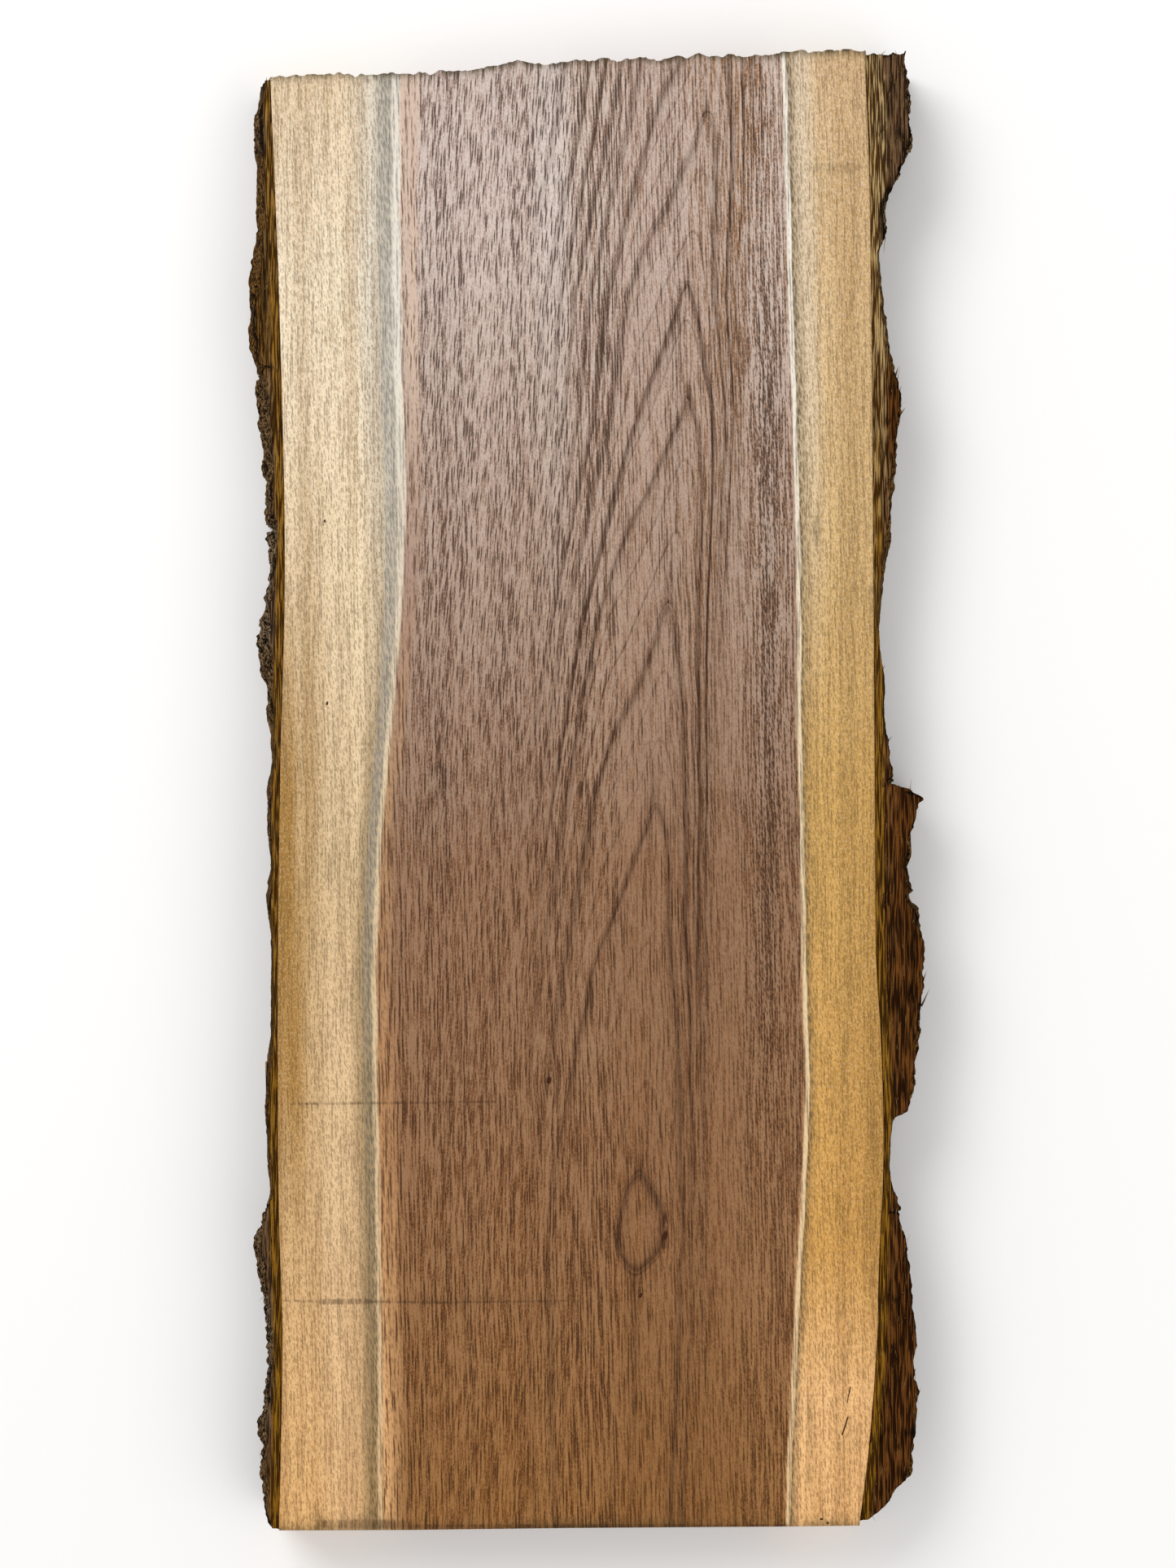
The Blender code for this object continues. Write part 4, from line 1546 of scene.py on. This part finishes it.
@dataclass
class SawnBoard:
    """The board: flat sawn faces, a ragged chainsawn top end, a clean bottom end."""

    outline: BoardOutline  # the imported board's outline
    growth: WoodGrowth  # how its wood grew
    finish: SawnWalnut  # its surface
    columns: int = 290  # mesh columns across the sawn face
    rows: int = 230  # mesh rows along it
    wall_levels: int = 13  # rows of corners on the sides and ends
    under_columns: int = 54  # mesh columns across the underside
    under_rows: int = 106  # mesh rows along it
    arris: float = 0.35  # width of the worn arris
    tear: float = 1.0  # depth of the torn grain along the top end
    tear_slant: float = 0.3  # how far the tears lean across the end, per millimetre of height
    # size of coarse, fine and finest tears
    tear_sizes: tuple = ((5.0, 1.0, 30.0), (2.2, 1.0, 6.0), (1.1, 1.0, 4.0))
    tear_shares: tuple = (0.5, 0.8, 0.7)  # how deep each goes
    tear_start: float = 0.3  # how deep the end is torn everywhere
    deepest: float = 1.5  # deepest tear
    wave_depth: float = 0.12  # depth of the saw's waves in the face
    wave_size: tuple = (26.0, 9.0, 50.0)  # their size

    def spread(self, u: Array, v: Array, z: Array, inset: float) -> Array:
        """Place points of a face by their shares across and along the board.

        Args:
            u: share across, 0 at the left edge.
            v: share along, 0 at the bottom end.
            z: heights.
            inset: how far the border is drawn in.

        Returns:
            (n, 3) places in millimetres.
        """
        low, high = self.outline.low, self.outline.high
        x = low[0] + u * (high[0] - low[0])
        y = low[1] + v * (high[1] - low[1])
        for _ in range(2):
            foot = self.outline.end(-1, x, z) + inset
            head = self.outline.end(1, x, z) - inset - self.ragged(x, z)
            y = foot + v * (head - foot)
            left = self.outline.edge(Side.LEFT, y, z) + inset
            right = self.outline.edge(Side.RIGHT, y, z) - inset
            x = left + u * (right - left)
        return np.column_stack([x, y, z])

    def ragged(self, x: Array, z: Array) -> Array:
        """How deep the saw tore the grain at the top end."""
        slanted = x + self.tear_slant * (self.outline.high[2] - z)
        places = np.column_stack([slanted, np.zeros(len(x)), z])
        coarse, fine, finest = (
            LatticeNoise(seed).at(places, size) for seed, size in enumerate(self.tear_sizes, 21)
        )
        coarse_share, fine_share, finest_share = self.tear_shares
        fine = fine + finest_share * finest
        torn = coarse_share * coarse + fine_share * fine + self.tear_start
        return self.tear * np.clip(torn, 0.0, self.deepest)

    def rim(self, columns: int, rows: int) -> tuple[Array, Array]:
        """Shares (u, v) of the border of a grid, counter-clockwise from the lower left corner."""
        across, along = np.linspace(0, 1, columns + 1), np.linspace(0, 1, rows + 1)
        u = np.concatenate([across[:-1], np.ones(rows), across[:0:-1], np.zeros(rows)])
        v = np.concatenate([np.zeros(columns), along[:-1], np.ones(columns), along[:0:-1]])
        return u, v

    def rim_numbers(self, start: int, columns: int, rows: int) -> list[int]:
        """Corner numbers of the border of a grid, counter-clockwise from the lower left corner."""
        wide = columns + 1
        numbers = [start + i for i in range(columns)]
        numbers += [start + j * wide + columns for j in range(rows)]
        numbers += [start + rows * wide + i for i in range(columns, 0, -1)]
        numbers += [start + j * wide for j in range(rows, 0, -1)]
        return numbers

    def grid_faces(self, start: int, columns: int, rows: int, up: bool) -> list[tuple]:
        """Quads of a grid of corners, facing up or down."""
        wide = columns + 1
        faces = []
        for j in range(rows):
            for i in range(columns):
                a = start + j * wide + i
                quad = (a, a + 1, a + 1 + wide, a + wide)
                faces.append(quad if up else quad[::-1])
        return faces

    def build(self) -> bpy.types.Object:
        """Build the board as one closed mesh and dress it.

        Returns:
            The piece.
        """
        top, bottom = self.outline.high[2], self.outline.low[2]
        u, v = np.meshgrid(np.linspace(0, 1, self.columns + 1), np.linspace(0, 1, self.rows + 1))
        face = self.spread(u.ravel(), v.ravel(), np.full(u.size, top), self.arris)
        face[:, 2] -= self.face_relief(face)
        ring_u, ring_v = self.rim(self.columns, self.rows)
        size = len(ring_u)
        walls = [
            self.spread(ring_u, ring_v, np.full(size, z), 0.0)
            for z in np.linspace(top - self.arris, bottom + self.arris, self.wall_levels)
        ]
        u, v = np.meshgrid(
            np.linspace(0, 1, self.under_columns + 1), np.linspace(0, 1, self.under_rows + 1)
        )
        under = self.spread(u.ravel(), v.ravel(), np.full(u.size, bottom), self.arris)
        corners = np.vstack([face, *walls, under])

        # Sawn face, sides and ends, underside, then the seam between the last two
        faces = self.grid_faces(0, self.columns, self.rows, True)
        start = len(face) + self.wall_levels * size
        rims = [self.rim_numbers(0, self.columns, self.rows)]
        rims += [list(range(first, first + size)) for first in range(len(face), start, size)]
        for upper, lower in zip(rims, rims[1:]):
            for i in range(size):
                j = (i + 1) % size
                faces.append((upper[i], lower[i], lower[j], upper[j]))
        faces += self.grid_faces(start, self.under_columns, self.under_rows, False)
        last, sole = rims[-1], self.rim_numbers(start, self.under_columns, self.under_rows)
        wall_marks, sole_marks = (
            np.cumsum([0, across, along, across, along])
            for across, along in ((self.columns, self.rows), (self.under_columns, self.under_rows))
        )
        for k in range(4):
            wall_part = [last[i % size] for i in range(wall_marks[k], wall_marks[k + 1] + 1)]
            sole_part = [sole[i % len(sole)] for i in range(sole_marks[k], sole_marks[k + 1] + 1)]
            faces += [triangle[::-1] for triangle in zip_rows(wall_part, sole_part)]
        piece = mesh_object("walnut_board", corners, faces)
        self.growth.store(piece, corners)
        piece.data.materials.append(self.finish.make())
        return piece

    def face_relief(self, places: Array) -> Array:
        """Depth of the shallow waves that the saw left in the face."""
        return self.wave_depth * (1.0 + LatticeNoise(31).layered(places, self.wave_size, 3))


@dataclass(frozen=True)
class BarkLooks:
    """How one strip's bark changes along the board, as (along, value) points."""

    grey: tuple  # how weathered the outside is
    straw: tuple  # how far pale torn bast covers the cut
    red: tuple  # how red the cut outer bark is
    # (along, half length, depth) of the bites in the outer edge; a lug has a depth below 0
    notches: tuple
    painted_shadows: tuple  # (along, half length, width) of the painted shadow patches at the outer edge
    gap: tuple  # how dark the painted shade in the gap next to the wood is
    crown: float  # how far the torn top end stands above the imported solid


@dataclass(frozen=True)
class Splinters:
    """Loose fibres and slivers that stand off torn bark."""

    seed: int  # makes the same fibres in every run
    count: int = 260  # how many fine fibres lie on the strip
    length: tuple = (2.0, 8.0)  # shortest and longest fine fibre
    width: float = 0.32  # thickness of a fine fibre at its root
    turn: float = 0.22  # how far fibres usually turn from the grain, in radians
    lift: tuple = (0.1, 0.5)  # least and most height of a fibre's tip over its root
    sunk: float = 0.1  # how deep roots sit in the bark

    def sliver(self, root: Array, tip: Array, width: float) -> Array:
        """Corners of one four-sided tapered sliver.

        Args:
            root: middle of its thick end.
            tip: its point.
            width: thickness at the root.

        Returns:
            Four root corners and the tip.
        """
        along = (tip - root) / np.linalg.norm(tip - root)
        aside = np.cross(along, (0.0, 0.0, 1.0))
        aside /= np.linalg.norm(aside)
        up = np.cross(aside, along)
        half = 0.5 * width
        return np.array([root - half * aside, root - half * up, root + half * aside, root + half * up, tip])

    def mesh(self, slivers: list[Array], first: int) -> tuple[Array, list[tuple]]:
        """Join slivers.

        Args:
            slivers: their corners.
            first: number of their first corner.

        Returns:
            All corners and all faces.
        """
        faces = []
        for k in range(len(slivers)):
            a = first + 5 * k
            faces += [(a, a + 1, a + 2, a + 3)]
            faces += [(a + (i + 1) % 4, a + i, a + 4) for i in range(4)]
        return np.vstack(slivers), faces


@dataclass(frozen=True)
class BarkCorners:
    """What is known of each corner of a strip. Shares run from 0 to 1."""

    places: Array
    normals: Array
    depth: Array  # distance from the wood
    sawn: Array  # share of the cut face
    inner: Array  # share of the side towards the wood
    outer: Array  # share of the side towards the weather
    corky: Array  # share of outer bark, against bast
    blocky: Array  # how far the outer bark is broken into blocks
    head: Array  # share of the top end
    chunk: Array  # noise of the plates
    fray: Array  # noise of frayed edges
    border: Array  # distance from the nearest border between two blocks
    groove: Array  # share of a split along the grain
    torn: Array  # how deep the cut face is torn
    shell: Array  # how deep the outside is worn


@dataclass
class BarkStrip:
    """One live edge's bark: bast along the wood, broken plates of outer bark on it."""

    side: Side  # which live edge
    outline: BoardOutline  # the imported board's outline
    finish: bpy.types.Material  # its surface
    looks: BarkLooks  # how it changes along the board
    slivers: tuple  # (root, tip, thickness) of the slivers that stand off it
    loose: Splinters  # how slivers and fine fibres are made

    # Mesh pitch, step of the survey of the outer edge, and what stays free under the sawn face
    grain_size: float = 0.9
    edge_step: float = 1.5
    skin: float = 0.1

    # Spans of the zones: by how far a surface faces up, by depth under the face, by distance from wood
    facing: tuple = (0.5, 0.85)
    sawn_depth: tuple = (7.0, 4.0)
    sole_height: tuple = (3.0, 1.5)
    inner_facing: tuple = (-0.2, -0.6)
    inner_depth: tuple = (2.5, 1.4)
    cork_depth: tuple = (2.6, 4.6)
    head_depth: tuple = (5.0, 1.0)
    high_depth: tuple = (6.0, 3.0)

    # Sizes of strands, splits, plates, blocks, frayed edges, torn teeth and nicks
    strand_size: tuple = (2.2, 34.0, 5.0)
    split_size: tuple = (3.4, 60.0, 9.0)
    chunk_size: tuple = (6.0, 30.0, 12.0)
    block_size: tuple = (5.0, 9.5, 4.2)
    fray_size: tuple = (3.2, 3.2, 3.0)
    tooth_sizes: tuple = ((4.0, 4.2, 7.0), (3.0, 1.9, 4.0))
    nick_size: tuple = (1.9, 3.0, 5.0)

    # How deep they go: strands in bast and in cork, plates, splits; frayed crust, gaps between blocks;
    # flakes by strand and by fray; flakes, splits and blocks where the outside is smooth
    torn_depths: tuple = (0.2, 0.25, 0.3, 0.5)
    crust_depths: tuple = (0.5, 1.5)
    flake_depths: tuple = (0.4, 0.5)
    shell_depths: tuple = (0.5, 0.8, 0.6)
    plate_steps: tuple = ((0.1, 0.3), (0.35, 0.55))
    tooth_depths: tuple = (0.8, 1.2)
    head_depths: tuple = (0.9, 1.6)

    # Slivers' distance from the wood, painted shade and weathering; then straw, grey and red
    sliver_bark: tuple = (6.0, 0.0, 0.0)
    sliver_tint: tuple = (0.35, 0.0, 0.6)

    @property
    def node(self) -> str:
        """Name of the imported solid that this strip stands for."""
        return "bark_left" if self.side is Side.LEFT else "bark_right"

    def fine_mesh(self) -> tuple[Array, Array, Array]:
        """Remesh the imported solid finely.

        Returns:
            Corners and normals in millimetres, and the quads.
        """
        work = bmesh.new()
        work.from_mesh(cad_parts[self.node].data)
        bmesh.ops.remove_doubles(work, verts=work.verts, dist=1e-6)
        mesh = bpy.data.meshes.new("coarse")
        work.to_mesh(mesh)
        work.free()
        coarse = bpy.data.objects.new("coarse", mesh)
        bpy.context.scene.collection.objects.link(coarse)
        remesh = coarse.modifiers.new("remesh", "REMESH")
        remesh.mode = "VOXEL"
        remesh.voxel_size = self.grain_size * MM
        fine = bpy.data.meshes.new_from_object(coarse.evaluated_get(bpy.context.evaluated_depsgraph_get()))
        corners = np.empty(len(fine.vertices) * 3)
        normals = np.empty(len(fine.vertices) * 3)
        fine.vertices.foreach_get("co", corners)
        fine.vertices.foreach_get("normal", normals)
        quads = np.array([tuple(p.vertices) for p in fine.polygons])
        bpy.data.objects.remove(coarse)
        bpy.data.meshes.remove(fine)
        bpy.data.meshes.remove(mesh)
        return corners.reshape(-1, 3) / MM, normals.reshape(-1, 3), quads

    def outer_edge(self, y: Array, depth: Array) -> tuple[Array, Array]:
        """How far the bark reaches from the wood along the board.

        Args:
            y: places of the strip's corners along the board.
            depth: their distance from the wood.

        Returns:
            Places along the board, and the reach at each.
        """
        places = np.arange(y.min(), y.max(), self.edge_step)
        nearest = np.round((y - places[0]) / self.edge_step).astype(int)
        reach = np.zeros(len(places))
        np.maximum.at(reach, np.clip(nearest, 0, len(places) - 1), depth)
        return places, reach

    def fibres(self, corners: Array, flat: Array) -> list[Array]:
        """Fine fibres that the saw lifted off the cut face.

        Args:
            corners: the strip's corners.
            flat: which of them lie on the cut face.

        Returns:
            The corners of each fibre.
        """
        loose = self.loose
        draw = np.random.default_rng(loose.seed)
        roots = corners[draw.choice(np.flatnonzero(flat), loose.count)]
        lengths = draw.uniform(*loose.length, loose.count)
        turns = draw.normal(0.0, loose.turn, loose.count) + np.pi * draw.integers(0, 2, loose.count)
        rises = draw.uniform(*loose.lift, loose.count)
        slivers = []
        for root, length, turn, rise in zip(roots, lengths, turns, rises):
            tip = root + (length * np.sin(turn), length * np.cos(turn), rise)
            tip[1] = np.clip(tip[1], corners[:, 1].min(), corners[:, 1].max())
            tip[2] = min(tip[2], self.outline.high[2] - 0.5 * self.skin)
            slivers.append(loose.sliver(root - (0, 0, loose.sunk), tip, loose.width))
        return slivers

    def survey(self, corners: Array, normals: Array) -> BarkCorners:
        """Find out what lies at each corner of the fine mesh.

        Args:
            corners: places in millimetres.
            normals: which way the surface faces there.

        Returns:
            What is known of each.
        """
        out, top = self.side.value, self.outline.high[2]
        x, y, z = corners.T
        depth = out * (x - self.outline.edge(self.side, y, z))
        low, high = (top - level for level in self.sawn_depth)
        sawn = smooth_step(*self.facing, normals[:, 2]) * smooth_step(low, high, z)
        sole = smooth_step(*self.facing, -normals[:, 2]) * smooth_step(*self.sole_height, z)
        inner = smooth_step(*self.inner_facing, out * normals[:, 0]) * smooth_step(*self.inner_depth, depth)
        corky = smooth_step(*self.cork_depth, depth)
        low, high = (y.max() - length for length in self.head_depth)

        rough = 1 - LatticeNoise(61).layered(corners, self.strand_size, 2)
        chunk = LatticeNoise(62).layered(corners, self.chunk_size, 2)
        border, own = LatticeNoise(63).cells(corners, self.block_size)
        fray = LatticeNoise(64).layered(corners, self.fray_size, 3)
        split = LatticeNoise(65).at(corners, self.split_size)
        groove = smooth_step(0.12, 0.0, np.abs(split)) * corky
        lower, upper = (smooth_step(*span, chunk) for span in self.plate_steps)
        bast, cork, plate, deep = self.torn_depths
        torn = bast * rough + corky * (cork * rough + plate * (lower + upper)) + deep * groove
        frayed, gap = self.crust_depths
        crust = frayed * (1 - fray) + gap * smooth_step(0.2, 0.0, border) + own
        by_strand, by_fray = self.flake_depths
        flakes = by_strand * rough + by_fray * (1 - fray)
        blocky = through(self.looks.grey, y)
        flaky, deep, block = self.shell_depths
        smooth = flaky * flakes + deep * groove + block * own
        shell = corky * (blocky * crust + (1 - blocky) * smooth) + (1 - corky) * flakes
        outer = np.clip(1.0 - sawn - sole - inner, 0.0, 1.0)
        head = smooth_step(low, high, y)
        return BarkCorners(
            corners, normals, depth, sawn, inner, outer, corky, blocky, head, chunk, fray, border,
            groove, torn, shell,
        )

    def carve(self, at: BarkCorners) -> Array:
        """Tear, split and break the bark.

        Args:
            at: what is known of each corner.

        Returns:
            The corners' new places.
        """
        out, y = self.side.value, at.places[:, 1]
        moved = at.places - at.normals * (at.sawn * at.torn + at.outer * at.shell)[:, None]
        long_teeth, short_teeth = self.tooth_sizes
        teeth = LatticeNoise(66).layered(at.places, long_teeth, 3)
        teeth = teeth + 0.5 * LatticeNoise(67).at(at.places, short_teeth)
        ragged = smooth_step(3.5, 6.0, at.depth) * smooth_step(0.0, 0.5, out * at.normals[:, 0] + 0.4)
        usual, more = self.tooth_depths
        moved[:, 0] += out * (usual + more * at.blocky) * teeth * ragged

        # The side towards the wood sinks a little into it
        moved[:, 0] -= out * at.inner * (at.depth + 0.3)
        for place, half, bite in self.looks.notches:
            near = smooth_step(half, 0.35 * half, np.abs(y - place + 1.5 * at.fray)) * at.corky
            moved[:, 0] -= out * np.minimum(bite * near, np.maximum(at.depth - 3.0, 0.0))
        tooth, nick = self.head_depths
        nicks = LatticeNoise(68).layered(at.places, self.nick_size, 2)
        moved[:, 1] += at.head * (self.looks.crown + tooth * teeth + nick * nicks)
        moved[:, 2] = np.clip(moved[:, 2], 0.0, self.outline.high[2] - self.skin)
        return moved

    def painted_shade(self, at: BarkCorners) -> Array:
        """Painted shade at each corner: in splits, gaps and deep tears, on undersides, sides and slopes, and
        painted shadow patches at the outer edge; the torn ends are darker too.

        Args:
            at: what is known of each corner.

        Returns:
            Shares from 0 to 1.
        """
        y, z = at.places[:, 1], at.places[:, 2]
        facing_up, facing_head = at.normals[:, 2], at.normals[:, 1]
        # Painted shade on the cut face: where it slopes off the top, in splits and in deep tears
        rim = at.sawn * smooth_step(0.97, 0.75, facing_up) * at.corky
        dark = at.sawn * (0.7 * at.groove + 0.1 * smooth_step(0.9, 1.9, at.torn)) + 0.7 * rim
        # Painted shade between the blocks and over the outer side
        smooth = (1 - at.blocky) * (0.6 * at.groove + 0.25)
        dark = dark + at.outer * (at.blocky * smooth_step(0.16, 0.0, at.border) + smooth)
        # Painted shade on the side towards the wood and in the gap beside it
        gap = through(self.looks.gap, y)
        dark = dark + 0.5 * at.inner + gap * at.sawn * smooth_step(1.1, 0.4, at.depth)
        # Darker at the torn top end, more where it faces the head
        dark = dark + 0.8 * at.head * smooth_step(-0.2, 0.5, facing_head + 0.5 * at.fray)
        # Painted shade on the outer side, patchy where the bark is frayed
        dark = dark + at.outer * (0.4 * (1 - at.corky) + 0.6 * at.corky * smooth_step(0.1, 0.6, at.fray))
        # Painted shadow along the outer edge of the top
        low, high = (self.outline.high[2] - level for level in self.high_depth)
        upper = at.corky * smooth_step(low, high, z)
        to_edge = np.interp(y, *self.outer_edge(y, at.depth)) - at.depth + 0.8 * at.fray
        dark = dark + 0.9 * upper * smooth_step(1.6, 0.4, to_edge)
        # Painted shadow patches, listed for each strip
        for place, half, width in self.looks.painted_shadows:
            near = smooth_step(half, 0.6 * half, np.abs(y - place + 2.0 * at.fray))
            dark = dark + 0.95 * upper * near * smooth_step(width + 0.6, width - 0.6, to_edge)
        return np.clip(dark, 0.0, 1.0)

    def build(self) -> bpy.types.Object:
        """Build the strip and dress it.

        Returns:
            The piece.
        """
        corners, normals, quads = self.fine_mesh()
        at = self.survey(corners, normals)
        moved = self.carve(at)
        _, y, z = corners.T
        weathered = at.outer * at.corky * smooth_step(0.0, 0.1, at.blocky)
        straw = through(self.looks.straw, y) * smooth_step(9.0, 5.5, at.depth + 2.5 * at.chunk)
        slivers = [
            self.loose.sliver(np.array(root), np.array(tip), width) for root, tip, width in self.slivers
        ]
        slivers += self.fibres(moved, (at.sawn > 0.6) & (at.depth > 1.5))
        more, sliver_faces = self.loose.mesh(slivers, len(moved))
        rows = (len(more), 1)
        piece = mesh_object(self.node + "_torn", np.vstack([moved, more]), quads.tolist() + sliver_faces)
        for name, values, on_slivers in (
            ("grain", (moved[:, :2], z), more),
            # bark: distance from the wood, painted shade, weathering
            ("bark", (at.depth, self.painted_shade(at), weathered), np.tile(self.sliver_bark, rows)),
            ("tint", (straw, at.blocky, through(self.looks.red, y)), np.tile(self.sliver_tint, rows)),
        ):
            paint(piece, name, np.vstack([np.column_stack(values), on_slivers]))
        piece.data.materials.append(self.finish)
        return piece


@dataclass(frozen=True)
class Studio:
    """Pale floor, soft light, and a camera that looks straight down on the slab."""

    frame_long_side: float = 647.1  # length of the picture's long side at the sawn face
    camera_height: float = 1258.0  # height of the camera over the sawn face
    frame_centre: tuple = (1.3, 2.0)  # where the picture's middle falls on the face
    sensor: float = 36.0  # width of the camera's sensor
    clip: tuple = (0.05, 20.0)  # nearest and farthest distance that the camera shows, in metres
    floor_half: float = 4000.0  # half the length of the floor's side
    # its colour stops, as painted board with hardly visible clouds
    floor_colours: tuple = ((0.3, "#f9f8f7"), (0.7, "#fcfbfa"))
    sky: float = 0.62  # strength of the even light
    # (name, place, side, watts) of the square lamps, in metres
    lamps: tuple = (
        ("key_lamp", (-0.9, 1.1, 1.5), 1.1, 21.0),
        ("fill_lamp", (1.1, -0.7, 1.6), 1.6, 9.0),
    )

    def floor(self) -> bpy.types.Object:
        """Lay the floor under the slab."""
        half = self.floor_half
        corners = np.array([(-half, -half, 0), (half, -half, 0), (half, half, 0), (-half, half, 0)])
        floor = mesh_object("studio_floor", corners, [(0, 1, 2, 3)])
        material = blank_material("studio_floor")
        node = partial(add_node, material.node_tree)
        cloud = node("TexNoise", {"Scale": 3.0, "Detail": 2.0})
        stops = tuple((place, linear(colour)) for place, colour in self.floor_colours)
        colour = node("ValToRGB", {"Fac": cloud}, stops=stops)
        shader = node("BsdfPrincipled", {"Base Color": colour, "Roughness": 0.9, "Specular IOR Level": 0.1})
        node("OutputMaterial", {"Surface": shader})
        floor.data.materials.append(material)
        return floor

    def light(self) -> None:
        """Hang a large soft lamp and a weaker one, under a pale even sky."""
        world = bpy.data.worlds.new("studio_sky")
        world.use_nodes = True
        background = world.node_tree.nodes["Background"].inputs
        background["Color"].default_value = linear("#ffffff")
        background["Strength"].default_value = self.sky
        bpy.context.scene.world = world
        for name, place, side, watts in self.lamps:
            lamp = bpy.data.lights.new(name, "AREA")
            lamp.shape = "SQUARE"
            lamp.size = side
            lamp.energy = watts
            hung = bpy.data.objects.new(name, lamp)
            hung.location = place
            hung.rotation_mode = "QUATERNION"
            hung.rotation_quaternion = (-Vector(place)).to_track_quat("-Z", "Y")
            bpy.context.scene.collection.objects.link(hung)

    def camera(self, face_height: float) -> None:
        """Set up the camera at the photo's angle.

        Args:
            face_height: height of the sawn face in millimetres.
        """
        camera = bpy.data.cameras.new("camera")
        camera.sensor_width = self.sensor
        camera.lens = self.sensor * self.camera_height / self.frame_long_side
        camera.clip_start, camera.clip_end = self.clip
        stand = bpy.data.objects.new("camera", camera)
        x, y = self.frame_centre
        stand.location = (x * MM, y * MM, (face_height + self.camera_height) * MM)
        bpy.context.scene.collection.objects.link(stand)
        bpy.context.scene.camera = stand
        bpy.context.scene.view_settings.view_transform = "Standard"

    def set_up(self, face_height: float) -> None:
        """Make floor, light and camera."""
        self.floor()
        self.light()
        self.camera(face_height)


LEFT_LOOKS = BarkLooks(
    grey=(
        (-303, 0.4), (-270, 0.45), (-262, 0.9), (-215, 0.9), (-205, 0.6), (-172, 0.7), (-165, 0.3), (3, 0.3),
        (12, 0.5), (55, 0.6), (60, 1.0), (108, 1.0), (114, 0.5), (170, 0.5), (180, 0.1), (258, 0.1),
        (268, 0.45),
    ),
    straw=((-300, 0.0), (200, 0.1), (290, 0.2)),
    red=((-300, 0.3), (-165, 0.3), (-100, 0.0), (290, 0.0)),
    notches=((109.0, 2.5, 6.0), (174.0, 1.6, 4.0)),
    painted_shadows=((109.0, 4.5, 3.5), (268.0, 9.0, 2.4), (286.0, 9.0, 3.4), (-209.0, 6.0, 3.0), (295.0, 8.0, 6.0)),
    gap=((-230.0, 0.3), (-222.0, 0.9), (-202.0, 0.9), (-194.0, 0.3), (144.0, 0.3), (154.0, 1.0)),
    crown=-0.8,
)
RIGHT_LOOKS = BarkLooks(
    grey=((-300, 0.1), (180, 0.1), (222, 0.2), (248, 0.5), (256, 0.75), (305, 0.75)),
    straw=((-300, 0.0), (60, 0.05), (120, 0.3), (180, 0.7), (305, 0.8)),
    red=((-300, 0.9), (150, 0.9), (222, 0.5), (256, 0.2), (305, 0.1)),
    notches=((-46.0, 4.0, 2.2), (-175.0, 1.0, 5.0), (2.6, 2.2, 3.0), (-3.4, 2.6, -1.6)),
    painted_shadows=((-52.0, 5.0, 2.6), (238.0, 14.0, 3.2), (262.0, 12.0, 1.8), (-2.0, 2.0, 5.0), (304.0, 3.0, 9.0)),
    gap=((-306.0, 0.5), (306.0, 0.35)),
    crown=1.7,
)
LEFT_SLIVERS = (
    ((-131.0, -204.5, 30.0), (-134.8, -203.0, 33.0), 0.5),
    ((-131.0, -209.0, 30.0), (-135.5, -212.5, 32.0), 0.5),
    ((-132.0, -113.0, 33.0), (-131.5, -152.0, 34.0), 0.9),
)
RIGHT_SLIVERS = (
    ((128.0, 169.0, 34.0), (129.8, 175.0, 35.0), 1.2),
    ((128.5, 160.0, 34.0), (131.2, 167.0, 35.0), 1.2),
    ((130.0, 154.0, 33.0), (132.8, 158.0, 34.0), 1.0),
    ((122.5, 47.0, 33.0), (124.3, 51.5, 34.0), 0.9),
    ((124.0, 18.0, 33.0), (127.5, 22.0, 34.0), 0.9),
    ((139.0, -82.0, 33.0), (141.8, -75.0, 34.0), 0.9),
    ((139.5, -90.0, 33.0), (142.9, -82.5, 34.0), 0.9),
)


def main() -> None:
    """Build and dress the slab, piece by piece, and report each."""
    logging.basicConfig(level=logging.INFO, format="%(name)s: %(message)s")
    outline = BoardSurvey(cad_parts["wood"]).measure()
    Studio().set_up(outline.high[2])
    log = WalnutLog(face_height=outline.high[2])
    board = SawnBoard(outline, WoodGrowth(outline, log), SawnWalnut()).build()
    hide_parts("wood")
    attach(board, "root")
    LOG.info("%s: %d faces", board.name, len(board.data.polygons))
    bark_finish = TornBark().make()
    for side, looks, slivers in (
        (Side.LEFT, LEFT_LOOKS, LEFT_SLIVERS),
        (Side.RIGHT, RIGHT_LOOKS, RIGHT_SLIVERS),
    ):
        strip = BarkStrip(side, outline, bark_finish, looks, slivers, Splinters(seed=70 + side.value))
        piece = strip.build()
        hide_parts(strip.node)
        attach(piece, "root")
        LOG.info("%s: %d faces", piece.name, len(piece.data.polygons))


if __name__ == "__main__":
    main()
